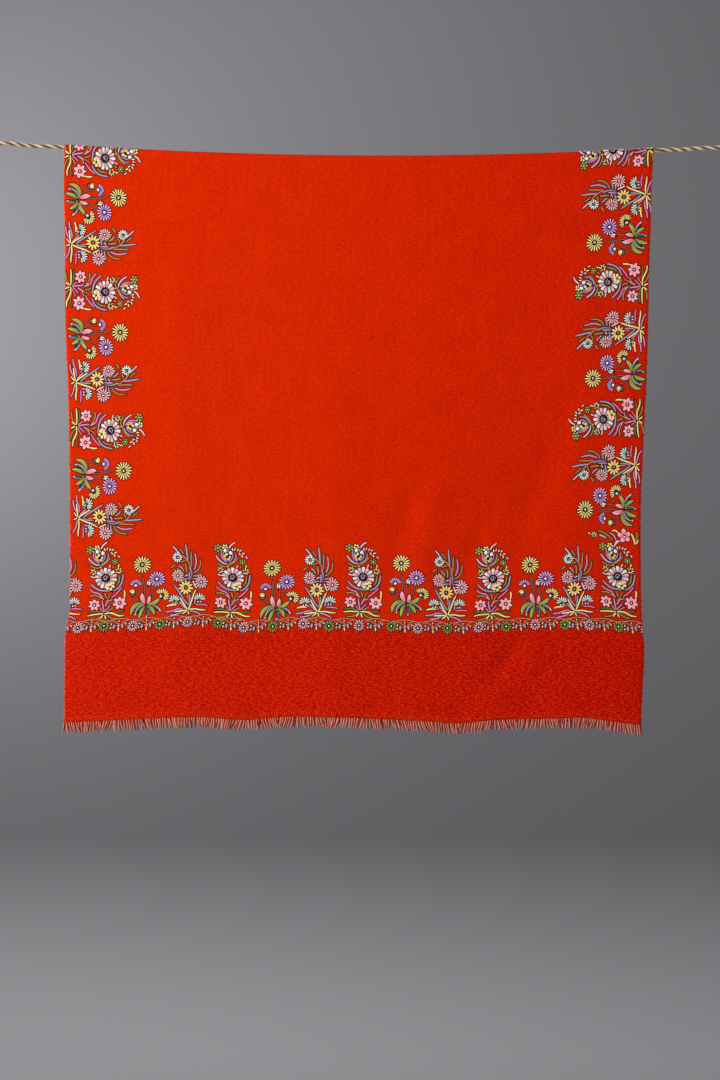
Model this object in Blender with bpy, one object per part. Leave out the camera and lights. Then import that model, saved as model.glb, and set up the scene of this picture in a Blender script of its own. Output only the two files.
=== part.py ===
"""An embroidered shawl, folded in half over a taut jute rope between two wall eyes.

Metres, +Z up. The origin is the middle of the rope's centreline, which runs along X.
The front fall hangs at -Y and the back fall at +Y. The wall is the plane y = WALL_PLANE.
"""

import math
import random
from collections import namedtuple

import bmesh
import bpy
from mathutils import Matrix, Vector

# The cut of the shawl
SHAWL_WIDTH = 1.000
FRONT_LENGTH = 0.965  # from the fold's crest to the hem, where the hem is highest
BACK_LENGTH = 0.958
CLOTH = 0.0012
SEAM = 0.0003  # between pieces that meet
COLUMNS = 30
ROWS = 19

# The rope and its fixings
ROPE = 0.008
LINE_CURVE = 0.062  # height gained per metre squared away from the lowest point
LINE_LOW = 0.048  # where along X the loaded line hangs lowest
EYE_AT = 0.640
WALL_PLANE = 0.045
ROPE_POINTS = 65

# The fold over the rope
REST = 0.0004  # between the rope and the cloth that lies on it
FOLD_RADIUS = ROPE / 2 + REST + CLOTH / 2
QUARTER = FOLD_RADIUS * math.pi / 2
FOLD_LEG = 0.006  # how far the fold's piece runs down below the rope's sides
FOLD_REACH = QUARTER + FOLD_LEG
FOLD_ROWS = 8

# How the falls hang
BOW = 0.0055  # how far the middle of a fall stands out before its sides
LIFT = 0.0045  # how far the sides stand out, further down
FULL_AT = 0.45  # the waves have their full height this far down
BACK_NARROWER = 0.003
BACK_TURN = 0.3  # the back's waves are shifted by this share of their length

# Fringe
STRANDS = 118
FRINGE = 0.0175
STRIP = 0.0025
STRAND_ROOT = 0.0017
STRAND_TIP = 0.0007
STRAND_LEAN = 0.14  # sideways, as a share of the length, and less to front and back
STRAND_LEAN_DEEP = 0.08
STRAND_FLAT = 0.3  # a strand's depth as a share of its width

# The falls' side edges: distances from the middle line, at a distance down from the fold
Edge = namedtuple("Edge", "down left right")
EDGES = [
    Edge(0.00, 0.5000, 0.5000),
    Edge(0.12, 0.4990, 0.4960),
    Edge(0.30, 0.4965, 0.4910),
    Edge(0.50, 0.4895, 0.4845),
    Edge(0.65, 0.4845, 0.4780),
    Edge(0.74, 0.4845, 0.4790),
    Edge(0.81, 0.4880, 0.4810),
    Edge(0.85, 0.4975, 0.4840),
    Edge(1.00, 0.4980, 0.4780),
]

# How much longer a fall hangs at places across it than where its hem is highest
Hem = namedtuple("Hem", "across longer")
HEM = [
    Hem(-0.50, 0.0220),
    Hem(-0.42, 0.0130),
    Hem(-0.27, 0.0020),
    Hem(-0.19, 0.0065),
    Hem(-0.11, 0.0005),
    Hem(-0.02, 0.0000),
    Hem(0.06, 0.0025),
    Hem(0.14, 0.0060),
    Hem(0.18, 0.0100),
    Hem(0.25, 0.0050),
    Hem(0.34, 0.0055),
    Hem(0.40, 0.0065),
    Hem(0.45, 0.0160),
    Hem(0.50, 0.0210),
]

# Long soft waves from the fold to the hem
Wave = namedtuple("Wave", "length height shift drift")
WAVES = [
    Wave(0.41, 0.0030, 0.10, 0.10),
    Wave(0.23, 0.0022, 0.62, -0.16),
    Wave(0.135, 0.0010, 0.35, 0.22),
]

# Single troughs (negative) and ridges (positive), each leaning as it runs down
Crease = namedtuple("Crease", "across down half_width half_length lean height")
FRONT_CREASES = [
    Crease(0.085, 0.63, 0.024, 0.085, -0.25, -0.0055),
    Crease(0.125, 0.64, 0.022, 0.080, -0.25, 0.0035),
    Crease(0.212, 0.65, 0.020, 0.060, -0.40, -0.0035),
    Crease(0.335, 0.52, 0.032, 0.150, -0.35, -0.0045),
    Crease(0.258, 0.87, 0.020, 0.055, -0.50, -0.0040),
    Crease(0.300, 0.90, 0.024, 0.060, -0.50, 0.0030),
    Crease(-0.345, 0.66, 0.026, 0.070, 0.20, -0.0025),
    Crease(-0.262, 0.46, 0.028, 0.060, 0.05, -0.0015),
]
BACK_CREASES = [
    Crease(-0.20, 0.58, 0.026, 0.110, 0.22, -0.0045),
    Crease(-0.24, 0.60, 0.024, 0.100, 0.22, 0.0030),
    Crease(0.10, 0.74, 0.024, 0.090, -0.30, -0.0040),
    Crease(0.31, 0.55, 0.030, 0.130, 0.28, -0.0035),
    Crease(-0.38, 0.80, 0.024, 0.070, 0.10, 0.0025),
]

# Wall eyes
PLATE_RADIUS = 0.018
PLATE = 0.003
STEM_RADIUS = 0.003
EYE_WIRE = 0.0025  # half the wire's thickness
EYE_RADIUS = ROPE / 2 + SEAM + EYE_WIRE

# A stopper knot of three wraps with a short tail
KNOT_RADIUS = 0.0092
KNOT_SHOULDER = 0.0087
KNOT_GROOVE = 0.0074
KNOT_FACE = 0.0060
WRAP = 0.0078
WRAPS = 3
TAIL = 0.016
TAIL_SPREAD = 0.0008


def clear_scene():
    for item in list(bpy.data.objects):
        bpy.data.objects.remove(item, do_unlink=True)


def material(name, colour, roughness, metallic=0.0):
    """A Principled finish of one colour."""
    made = bpy.data.materials.new(name)
    made.use_nodes = True
    surface = made.node_tree.nodes["Principled BSDF"]
    surface.inputs["Base Color"].default_value = (*colour, 1.0)
    surface.inputs["Roughness"].default_value = roughness
    surface.inputs["Metallic"].default_value = metallic
    return made


def show(name, mesh, finish, smooth=False):
    """Puts a mesh in the scene under its node's name."""
    item = bpy.data.objects.new(name, mesh)
    bpy.context.collection.objects.link(item)
    mesh.materials.append(finish)
    if smooth:
        mesh.shade_smooth()
        mesh.set_sharp_from_angle(angle=math.radians(40))
    return item


def smooth_step(low, high, value):
    t = min(max((value - low) / (high - low), 0.0), 1.0)
    return t * t * (3.0 - 2.0 * t)


def through_rows(rows, column, at):
    """A smooth curve through one column of a table whose first column is the place."""
    places = [row[0] for row in rows]
    values = [getattr(row, column) for row in rows]
    at = min(max(at, places[0]), places[-1])
    k = max(i for i in range(len(rows) - 1) if at >= places[i])

    def slope(i):
        low, high = max(i - 1, 0), min(i + 1, len(rows) - 1)
        return (values[high] - values[low]) / (places[high] - places[low])

    span = places[k + 1] - places[k]
    t = (at - places[k]) / span
    start, end = values[k], values[k + 1]
    rise_in, rise_out = slope(k) * span, slope(k + 1) * span
    return (
        (2 * t**3 - 3 * t**2 + 1) * start
        + (t**3 - 2 * t**2 + t) * rise_in
        + (3 * t**2 - 2 * t**3) * end
        + (t**3 - t**2) * rise_out
    )


def line_slope(x):
    """The loaded line is a parabola under the cloth, and straight outside it."""
    x = min(max(x, -SHAWL_WIDTH / 2), SHAWL_WIDTH / 2)
    return 2 * LINE_CURVE * (x - LINE_LOW)


def line_height(x):
    inside = min(max(x, -SHAWL_WIDTH / 2), SHAWL_WIDTH / 2)
    height = LINE_CURVE * ((inside - LINE_LOW) ** 2 - LINE_LOW**2)
    return height + line_slope(inside) * (x - inside)


def crease_height(crease, across, down):
    aside = across - crease.across - crease.lean * (down - crease.down)
    along = down - crease.down
    fade = (aside / crease.half_width) ** 2 + (along / crease.half_length) ** 2
    return crease.height * math.exp(-fade)


def stand_out(across, down, creases, turn):
    """How far a fall stands out from the plane below the rope's side."""
    grown = smooth_step(0.0, FULL_AT, down)
    out = LIFT + BOW * (1.0 - (across / (SHAWL_WIDTH / 2)) ** 2)
    for wave in WAVES:
        phase = across / wave.length + wave.shift + wave.drift * down + turn
        out += wave.height * (0.5 + 0.5 * math.sin(2 * math.pi * phase))
    out *= grown
    for crease in creases:
        out += crease_height(crease, across, down)
    return max(out, 0.0)


def drape(across, along):
    """The cloth's middle surface. along is from the fold's crest: front positive."""
    front = along >= 0
    down = max(abs(along) - QUARTER, 0.0)
    narrower = 0.0 if front else BACK_NARROWER * smooth_step(0.0, 0.1, down)
    left = through_rows(EDGES, "left", down) - narrower
    right = through_rows(EDGES, "right", down) - narrower
    x = -left + (left + right) * (across / SHAWL_WIDTH + 0.5)
    top = line_height(across)
    if abs(along) <= QUARTER:
        angle = along / FOLD_RADIUS
        y = -FOLD_RADIUS * math.sin(angle)
        return Vector((x, y, top + FOLD_RADIUS * math.cos(angle)))
    if front:
        out = FOLD_RADIUS + stand_out(across, down, FRONT_CREASES, 0.0)
    else:
        out = FOLD_RADIUS + stand_out(-across, down, BACK_CREASES, BACK_TURN)
    longer = 1.0 + through_rows(HEM, "longer", across) / FRONT_LENGTH
    return Vector((x, -out if front else out, top - down * longer))


def cloth_piece(name, start, end, columns, rows, finish):
    """A wall of cloth between two distances along the shawl."""
    bm = bmesh.new()
    bmesh.ops.create_grid(bm, x_segments=columns, y_segments=rows, size=0.5)
    for vertex in bm.verts:
        across = vertex.co.x * SHAWL_WIDTH
        along = start + (end - start) * (0.5 - vertex.co.y)
        vertex.co = drape(across, along)
    mesh = bpy.data.meshes.new(name)
    bm.to_mesh(mesh)
    bm.free()
    piece = show(name, mesh, finish, smooth=True)
    wall = piece.modifiers.new("wall", "SOLIDIFY")
    wall.thickness = CLOTH
    wall.offset = 0.0
    wall.use_even_offset = True
    return piece


def fold_piece(finish):
    return cloth_piece("fold_over_rope", -FOLD_REACH, FOLD_REACH, COLUMNS, FOLD_ROWS, finish)


def front_fall(finish):
    start = FOLD_REACH + SEAM
    return cloth_piece("front_fall", start, FRONT_LENGTH, COLUMNS, ROWS, finish)


def back_fall(finish):
    start = -FOLD_REACH - SEAM
    return cloth_piece("back_fall", -BACK_LENGTH, start, COLUMNS, ROWS, finish)


def strands_for(name, hem, side, seed):
    """Three-sided locks whose roots stand in the fringe's strip."""
    chance = random.Random(seed)
    bm = bmesh.new()
    pitch = SHAWL_WIDTH / STRANDS
    for k in range(STRANDS):
        across = -SHAWL_WIDTH / 2 + pitch * (k + 0.5)
        root = drape(across, side * (hem + SEAM + STRIP * 0.5))
        lean = Vector(
            (
                chance.uniform(-STRAND_LEAN, STRAND_LEAN),
                chance.uniform(-STRAND_LEAN_DEEP, STRAND_LEAN_DEEP),
                -1.0,
            )
        ).normalized()
        long = FRINGE * chance.uniform(0.88, 1.0)
        made = bmesh.ops.create_cone(
            bm,
            cap_ends=True,
            segments=3,
            radius1=STRAND_ROOT,
            radius2=STRAND_TIP,
            depth=long,
        )
        deep = lean.cross(Vector((1.0, 0.0, 0.0))).normalized()
        wide = deep.cross(lean)
        turn = Matrix((wide, deep * STRAND_FLAT, lean)).transposed().to_4x4()
        place = Matrix.Translation(root + lean * long / 2) @ turn
        bmesh.ops.transform(bm, matrix=place, verts=made["verts"])
    mesh = bpy.data.meshes.new(name)
    bm.to_mesh(mesh)
    bm.free()
    return mesh


def fringe(name, hem, side, seed, finish):
    """A narrow strip just below the hem, with the strands' roots joined to it."""
    near, far = side * (hem + SEAM), side * (hem + SEAM + STRIP)
    piece = cloth_piece(name, min(near, far), max(near, far), COLUMNS, 1, finish)
    strands = show(
        name + "_strands", strands_for(name + "_strands", hem, side, seed), finish
    )
    strands.hide_render = True
    strands.display_type = "WIRE"
    join = piece.modifiers.new("roots", "BOOLEAN")
    join.operation = "UNION"
    join.solver = "EXACT"
    join.object = strands
    return piece


def rope(finish):
    """A tube along the line, from the outer face of one eye to that of the other."""
    reach = EYE_AT + EYE_WIRE
    curve = bpy.data.curves.new("rope", "CURVE")
    curve.dimensions = "3D"
    curve.bevel_depth = ROPE / 2
    curve.bevel_resolution = 2
    curve.use_fill_caps = True
    spline = curve.splines.new("POLY")
    spline.points.add(ROPE_POINTS - 1)
    for k, point in enumerate(spline.points):
        x = -reach + 2 * reach * k / (ROPE_POINTS - 1)
        point.co = (x, 0.0, line_height(x), 1.0)
    item = bpy.data.objects.new("rope", curve)
    bpy.context.collection.objects.link(item)
    curve.materials.append(finish)
    return item


def along_line(side, distance):
    """A frame on the line at x = side * EYE_AT, its X axis pointing outwards."""
    x = side * EYE_AT
    outward = Vector((side, 0.0, side * line_slope(x))).normalized()
    place = Vector((x, 0.0, line_height(x))) + outward * distance
    across = Vector((0.0, 1.0, 0.0))
    up = outward.cross(across).normalized()
    turn = Matrix((outward, across, up)).transposed().to_4x4()
    return Matrix.Translation(place) @ turn


def ring_mesh(name):
    """The eye's ring, round the line's own axis."""
    bm = bmesh.new()
    bmesh.ops.create_circle(bm, cap_ends=False, segments=8, radius=EYE_WIRE)
    bmesh.ops.translate(bm, verts=bm.verts[:], vec=(0.0, EYE_RADIUS, 0.0))
    bmesh.ops.spin(
        bm,
        geom=bm.verts[:] + bm.edges[:],
        cent=(0, 0, 0),
        axis=(1, 0, 0),
        angle=2 * math.pi,
        steps=20,
        use_merge=True,
    )
    bmesh.ops.recalc_face_normals(bm, faces=bm.faces[:])
    mesh = bpy.data.meshes.new(name)
    bm.to_mesh(mesh)
    bm.free()
    return mesh


def bar_mesh(name, radius, start, end, segments):
    """A round bar along Y."""
    bm = bmesh.new()
    bmesh.ops.create_cone(
        bm,
        cap_ends=True,
        segments=segments,
        radius1=radius,
        radius2=radius,
        depth=end - start,
    )
    place = Matrix.Translation((0, (start + end) / 2, 0)) @ Matrix.Rotation(
        math.pi / 2, 4, "X"
    )
    bmesh.ops.transform(bm, matrix=place, verts=bm.verts[:])
    mesh = bpy.data.meshes.new(name)
    bm.to_mesh(mesh)
    bm.free()
    return mesh


def wall_eye(name, side, finish):
    """A round wall plate with a stem and a ring that the rope runs through."""
    ring_place = along_line(side, 0.0)
    foot = Matrix.Translation((side * EYE_AT, 0.0, line_height(side * EYE_AT)))
    plate = show(
        name,
        bar_mesh(name, PLATE_RADIUS, WALL_PLANE - PLATE, WALL_PLANE, 32),
        finish,
        smooth=True,
    )
    plate.matrix_world = foot
    stem_mesh = bar_mesh(
        name + "_stem", STEM_RADIUS, EYE_RADIUS, WALL_PLANE - PLATE / 2, 12
    )
    helpers = [
        (stem_mesh, foot),
        (ring_mesh(name + "_ring"), ring_place),
    ]
    for mesh, place in helpers:
        helper = show(mesh.name, mesh, finish)
        helper.matrix_world = place
        helper.hide_render = True
        helper.display_type = "WIRE"
        join = plate.modifiers.new(mesh.name, "BOOLEAN")
        join.operation = "UNION"
        join.solver = "EXACT"
        join.object = helper
    return plate


def knot(name, side, finish):
    """A turned stopper knot of wraps, with its tail, just outside an eye."""
    profile = [(0.0, 0.0), (0.0, KNOT_FACE)]
    for k in range(WRAPS):
        start = k * WRAP
        profile += [
            (start + WRAP * 0.2, KNOT_SHOULDER),
            (start + WRAP * 0.5, KNOT_RADIUS),
            (start + WRAP * 0.8, KNOT_SHOULDER),
            (start + WRAP, KNOT_GROOVE),
        ]
    barrel = WRAPS * WRAP
    profile += [
        (barrel + 0.001, ROPE / 2),
        (barrel + TAIL * 0.7, ROPE / 2),
        (barrel + TAIL, ROPE / 2 + TAIL_SPREAD),
        (barrel + TAIL, 0.0),
    ]
    bm = bmesh.new()
    points = [bm.verts.new((x, radius, 0.0)) for x, radius in profile]
    for one, two in zip(points, points[1:]):
        bm.edges.new((one, two))
    bmesh.ops.spin(
        bm,
        geom=bm.verts[:] + bm.edges[:],
        cent=(0, 0, 0),
        axis=(1, 0, 0),
        angle=2 * math.pi,
        steps=14,
        use_merge=True,
    )
    bmesh.ops.remove_doubles(bm, verts=bm.verts[:], dist=0.00001)
    bmesh.ops.recalc_face_normals(bm, faces=bm.faces[:])
    mesh = bpy.data.meshes.new(name)
    bm.to_mesh(mesh)
    bm.free()
    piece = show(name, mesh, finish, smooth=True)
    piece.matrix_world = along_line(side, EYE_WIRE + SEAM)
    return piece


def main():
    clear_scene()
    cloth = material("cloth", (0.62, 0.022, 0.003), 0.85)
    jute = material("jute", (0.40, 0.26, 0.13), 0.95)
    steel = material("steel", (0.62, 0.62, 0.60), 0.35, 1.0)
    fold_piece(cloth)
    front_fall(cloth)
    back_fall(cloth)
    fringe("fringe_front", FRONT_LENGTH, 1, 11, cloth)
    fringe("fringe_back", BACK_LENGTH, -1, 23, cloth)
    rope(jute)
    for word, side in (("left", -1), ("right", 1)):
        wall_eye("eye_" + word, side, steel)
        knot("knot_" + word, side, jute)


main()
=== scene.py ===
import math
import random

import bmesh
import bpy
import numpy as np
from mathutils import Matrix, Vector


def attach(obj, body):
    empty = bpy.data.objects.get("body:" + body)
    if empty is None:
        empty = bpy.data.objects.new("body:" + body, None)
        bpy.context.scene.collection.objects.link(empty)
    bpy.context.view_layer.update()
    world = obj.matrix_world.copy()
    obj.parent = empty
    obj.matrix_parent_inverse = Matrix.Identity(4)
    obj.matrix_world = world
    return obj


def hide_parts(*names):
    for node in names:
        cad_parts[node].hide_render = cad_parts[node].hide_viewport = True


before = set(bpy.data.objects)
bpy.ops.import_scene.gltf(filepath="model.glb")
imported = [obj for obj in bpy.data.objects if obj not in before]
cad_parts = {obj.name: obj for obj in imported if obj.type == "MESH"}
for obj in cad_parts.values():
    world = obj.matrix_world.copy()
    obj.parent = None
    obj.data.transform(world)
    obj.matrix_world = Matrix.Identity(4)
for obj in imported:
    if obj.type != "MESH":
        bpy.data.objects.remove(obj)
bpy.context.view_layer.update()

scene = bpy.context.scene
scene.view_settings.view_transform = "Standard"


# Camera: level, a little over four metres in front, on a long lens
camera = {
    "place": (0.0034, -4.34, -0.6494),
    "lens": 85,
}


def makeCamera():
    data = bpy.data.cameras.new("camera")
    data.lens = camera["lens"]
    data.sensor_width = 36
    item = bpy.data.objects.new("camera", data)
    item.location = camera["place"]
    item.rotation_euler = (math.pi / 2, 0, 0)
    scene.collection.objects.link(item)
    scene.camera = item


# The line the shawl hangs on: a parabola under the cloth, straight outside it
line = {
    "curve": 0.062,  # height gained per metre squared away from the lowest point
    "lowAt": 0.048,
    "diameter": 0.008,
    "reach": 0.6425,  # outer face of each wall eye
    "eyeAt": 0.640,
    "wall": 0.045,
}

# The shawl's cut, and the drape that turns the flat cut into the hung shawl
shawl = {
    "width": 1.0,
    "frontLength": 0.965,
    "backLength": 0.958,
    "thickness": 0.0008,
    "columns": 150,
    "rows": 290,
    "foldRadius": 0.005,
    "backNarrower": 0.003,
    "backTurn": 0.3,
    "bow": 0.0055,  # how far the middle of a fall stands out before its sides
    "lift": 0.0045,
    "fullAt": 0.45,
}
halfWidth = shawl["width"] / 2
quarterTurn = shawl["foldRadius"] * math.pi / 2

# The side edges' distances from the middle line, going down from the fold
sideEdges = {
    "down": (0.00, 0.05, 0.12, 0.20, 0.30, 0.40, 0.50, 0.60, 0.70, 0.77, 0.80, 0.82, 0.86, 0.92, 1.00),
    "left": (
        0.5000, 0.5010, 0.4995, 0.4983, 0.4974, 0.4930, 0.4905, 0.4898, 0.4893, 0.4903, 0.4967, 0.4978,
        0.4983, 0.4990, 0.4998,
    ),
    "right": (
        0.5035, 0.5000, 0.4982, 0.4950, 0.4930, 0.4892, 0.4842, 0.4802, 0.4806, 0.4820, 0.4835, 0.4860,
        0.4854, 0.4822, 0.4800,
    ),
}

# How much longer or shorter a fall hangs than its cut, along its hem
hemLine = {
    "across": (-0.50, -0.42, -0.27, -0.19, -0.11, -0.02, 0.06, 0.14, 0.18, 0.25, 0.34, 0.40, 0.45, 0.50),
    "longer": (
        0.0237, 0.0147, 0.0010, 0.0035, -0.0040, -0.0042, -0.0012, 0.0030, 0.0068, 0.0022, 0.0030, 0.0040,
        0.0130, 0.0217,
    ),
}

# Long soft waves: length, height, shift, drift
softWaves = (
    (0.41, 0.0030, 0.10, 0.10),
    (0.23, 0.0022, 0.62, -0.16),
    (0.135, 0.0010, 0.35, 0.22),
)

# Single creases: across, down, half width, half length, lean, height
frontCreases = [
    (0.085, 0.63, 0.024, 0.085, -0.25, -0.0055),
    (0.125, 0.64, 0.022, 0.080, -0.25, 0.0035),
    (0.212, 0.65, 0.020, 0.060, -0.40, -0.0035),
    (0.335, 0.52, 0.032, 0.150, -0.35, -0.0045),
    (0.262, 0.850, 0.015, 0.040, -0.70, -0.0042),
    (0.300, 0.870, 0.022, 0.050, -0.60, 0.0032),
    (0.180, 0.935, 0.020, 0.016, 0.00, -0.0030),
    (-0.160, 0.950, 0.024, 0.020, 0.00, -0.0024),
    (-0.345, 0.66, 0.026, 0.070, 0.20, -0.0025),
    (-0.262, 0.46, 0.028, 0.060, 0.05, -0.0015),
]
backCreases = [
    (-0.20, 0.58, 0.026, 0.110, 0.22, -0.0045),
    (-0.24, 0.60, 0.024, 0.100, 0.22, 0.0030),
    (0.10, 0.74, 0.024, 0.090, -0.30, -0.0040),
    (0.31, 0.55, 0.030, 0.130, 0.28, -0.0035),
    (-0.38, 0.80, 0.024, 0.070, 0.10, 0.0025),
]

# Small puckers where the sewing draws the cloth up
pucker = {
    "plantPitch": 0.0738,
    "plantHeight": 0.0007,
    "borderFrom": 0.33,  # from the middle line to where the side borders begin
    "borderFade": 0.08,
}


def smoothStep(low, high, value):
    t = np.clip((value - low) / (high - low), 0, 1)
    return t * t * (3 - 2 * t)


def throughTable(table, column, at):  # a smooth curve through one column
    places = np.array(next(iter(table.values())), float)
    values = np.array(table[column], float)
    low = np.maximum(np.arange(len(places)) - 1, 0)
    high = np.minimum(np.arange(len(places)) + 1, len(places) - 1)
    slopes = (values[high] - values[low]) / (places[high] - places[low])
    at = np.clip(at, places[0], places[-1])
    k = np.clip(np.searchsorted(places, at, side="right") - 1, 0, len(places) - 2)
    span = places[k + 1] - places[k]
    t = (at - places[k]) / span
    return (
        (2 * t**3 - 3 * t**2 + 1) * values[k]
        + (t**3 - 2 * t**2 + t) * slopes[k] * span
        + (3 * t**2 - 2 * t**3) * values[k + 1]
        + (t**3 - t**2) * slopes[k + 1] * span
    )


def lineSlope(x):
    return 2 * line["curve"] * (np.clip(x, -halfWidth, halfWidth) - line["lowAt"])


def lineHeight(x):
    inside = np.clip(x, -halfWidth, halfWidth)
    height = line["curve"] * ((inside - line["lowAt"]) ** 2 - line["lowAt"] ** 2)
    return height + lineSlope(inside) * (x - inside)


def standOut(across, down, creases, turn):  # how far a fall stands out from the plane below the fold
    grown = smoothStep(0, shawl["fullAt"], down)
    out = shawl["lift"] + shawl["bow"] * (1 - (across / halfWidth) ** 2)
    for length, height, shift, drift in softWaves:
        out += height * (0.5 + 0.5 * np.sin(2 * np.pi * (across / length + shift + drift * down + turn)))
    out *= grown
    for place, level, halfAcross, halfDown, lean, height in creases:
        aside = across - place - lean * (down - level)
        out += height * np.exp(-((aside / halfAcross) ** 2) - ((down - level) / halfDown) ** 2)
    border = smoothStep(pucker["borderFrom"], pucker["borderFrom"] + pucker["borderFade"], np.abs(across))
    ripple = np.sin(2 * np.pi * (down / pucker["plantPitch"] + 0.12 * np.sin(9 * across + 3 * turn)))
    out += pucker["plantHeight"] * border * grown * ripple
    return np.maximum(out, 0)


def drapeMiddle(across, along):  # along runs from the fold's crest, positive to the front
    front = along >= 0
    down = np.maximum(np.abs(along) - quarterTurn, 0)
    narrower = np.where(front, 0, shawl["backNarrower"] * smoothStep(0, 0.1, down))
    left = throughTable(sideEdges, "left", down) - narrower
    right = throughTable(sideEdges, "right", down) - narrower
    x = -left + (left + right) * (across / shawl["width"] + 0.5)
    angle = np.clip(along, -quarterTurn, quarterTurn) / shawl["foldRadius"]
    out = np.where(
        front,
        standOut(across, down, frontCreases, 0),
        standOut(-across, down, backCreases, shawl["backTurn"]),
    )
    out = np.where(down > 0, out, 0)
    y = -shawl["foldRadius"] * np.sin(angle) - np.where(front, out, -out)
    longer = 1 + throughTable(hemLine, "longer", across) / shawl["frontLength"]
    z = lineHeight(across) + shawl["foldRadius"] * np.cos(angle) - down * longer
    return np.column_stack((x, y, z))


def normalised(vectors):
    return vectors / np.linalg.norm(vectors, axis=1)[:, None]


def drape(flat):  # flat points: across, minus along, height over the cloth's middle
    across, along, height = flat[:, 0], -flat[:, 1], flat[:, 2]
    step = 0.0004  # how far to each side the cloth's direction is read
    sideways = drapeMiddle(across + step, along) - drapeMiddle(across - step, along)
    downwards = drapeMiddle(across, along + step) - drapeMiddle(across, along - step)
    outward = normalised(np.cross(downwards, sideways))
    return drapeMiddle(across, along) + outward * height[:, None]


# Mesh helpers
def readPoints(mesh):
    points = np.empty(len(mesh.vertices) * 3)
    mesh.vertices.foreach_get("co", points)
    return points.reshape(-1, 3)


def writePoints(mesh, points):
    mesh.vertices.foreach_set("co", np.ascontiguousarray(points, np.float32).ravel())
    mesh.update()


def meshFrom(bm, name):
    mesh = bpy.data.meshes.new(name)
    bm.to_mesh(mesh)
    bm.free()
    return mesh


def showPiece(name, mesh, finish):
    item = bpy.data.objects.new(name, mesh)
    scene.collection.objects.link(item)
    mesh.materials.clear()
    mesh.materials.append(finish)
    mesh.shade_smooth()
    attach(item, "root")
    return item


def wrappedGrid(name, columns, rows, place, thread):
    # A grid whose points are put in place by a rule, then closed into a tube where its sides meet
    bm = bmesh.new()
    bmesh.ops.create_grid(bm, x_segments=columns, y_segments=rows, size=0.5)
    mesh = meshFrom(bm, name)
    shares = readPoints(mesh)[:, :2] + 0.5
    writePoints(mesh, place(shares[:, 0], shares[:, 1]))
    layer = mesh.attributes.new("thread", "FLOAT_VECTOR", "POINT")
    layer.data.foreach_set("vector", thread(shares[:, 0], shares[:, 1]).astype(np.float32).ravel())
    bm = bmesh.new()
    bm.from_mesh(mesh)
    bmesh.ops.remove_doubles(bm, verts=bm.verts[:], dist=0.000001)
    bmesh.ops.recalc_face_normals(bm, faces=bm.faces[:])
    bm.to_mesh(mesh)
    bm.free()
    return mesh


def flipOutwards(mesh):
    bm = bmesh.new()
    bm.from_mesh(mesh)
    bmesh.ops.recalc_face_normals(bm, faces=bm.faces[:])
    bm.to_mesh(mesh)
    bm.free()


def hairUnit(name, steps, length):  # a three-sided fibre that runs to a point
    return wrappedGrid(
        name, 3, steps,
        lambda u, v: np.column_stack((np.cos(2 * np.pi * u) * (1 - v), v, np.sin(2 * np.pi * u) * (1 - v))),
        lambda u, v: np.column_stack((u * 0.001, v * length, np.ones_like(u))),
    )


def setThreadTone(mesh, tone):  # the third value of each point's thread says how light its yarn is
    layer = mesh.attributes["thread"]
    thread = np.empty(len(mesh.vertices) * 3, np.float32)
    layer.data.foreach_get("vector", thread)
    thread = thread.reshape(len(tone), -1, 3)
    thread[:, :, 2] = tone
    layer.data.foreach_set("vector", thread.ravel())


def cutOff(bm, place, outward):  # removes what lies past a plane
    return bmesh.ops.bisect_plane(
        bm, geom=bm.verts[:] + bm.edges[:] + bm.faces[:], dist=0.0000001,
        plane_co=place, plane_no=outward, clear_outer=True,
    )


def manyCopies(unit, count):  # one mesh with the unit's points again and again, in order
    carrier = bpy.data.objects.new("carrier", unit)
    scene.collection.objects.link(carrier)
    row = carrier.modifiers.new("row", "ARRAY")
    row.count = count
    row.use_relative_offset = False
    row.use_constant_offset = True
    row.constant_offset_displace = (0, 0, 0)
    evaluated = carrier.evaluated_get(bpy.context.evaluated_depsgraph_get())
    mesh = bpy.data.meshes.new_from_object(evaluated)
    bpy.data.objects.remove(carrier)
    return mesh


def joinMeshes(meshes, name):
    bm = bmesh.new()
    for mesh in meshes:
        bm.from_mesh(mesh)
        bpy.data.meshes.remove(mesh)
    return meshFrom(bm, name)


def runAlong(path):  # the distance along a path at each of its points
    return np.concatenate(([0], np.cumsum(np.linalg.norm(np.diff(path, axis=0), axis=1))))


def pathLength(path):
    return float(np.linalg.norm(np.diff(path, axis=0), axis=1).sum())


def smoothPath(points, steps):  # even steps on a smooth curve through the points
    points = np.array(points, float)
    if len(points) == 2:
        return points[0] + (points[1] - points[0]) * np.linspace(0, 1, steps + 1)[:, None]
    padded = np.vstack((2 * points[0] - points[1], points, 2 * points[-1] - points[-2]))
    t = np.linspace(0, 1, 16, endpoint=False)[:, None]
    fine = []
    for a, b, c, d in zip(padded, padded[1:], padded[2:], padded[3:]):
        square, cube = 2 * a - 5 * b + 4 * c - d, 3 * b - a - 3 * c + d
        fine.append(0.5 * (2 * b + (c - a) * t + square * t**2 + cube * t**3))
    fine = np.vstack(fine + [points[-1:]])
    run = runAlong(fine)
    even = np.linspace(0, run[-1], steps + 1)
    return np.column_stack([np.interp(even, run, column) for column in fine.T])


# Material helpers
def linear(colour):  # from the 0 to 255 values that a screen shows
    shares = [value / 255 for value in colour[:3]]
    return tuple(s / 12.92 if s <= 0.04045 else ((s + 0.055) / 1.055) ** 2.4 for s in shares) + (1.0,)


def addNode(tree, kind, place, **settings):
    node = tree.nodes.new(kind)
    node.location = place
    for name, value in settings.items():
        setattr(node, name, value)
    return node


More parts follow.
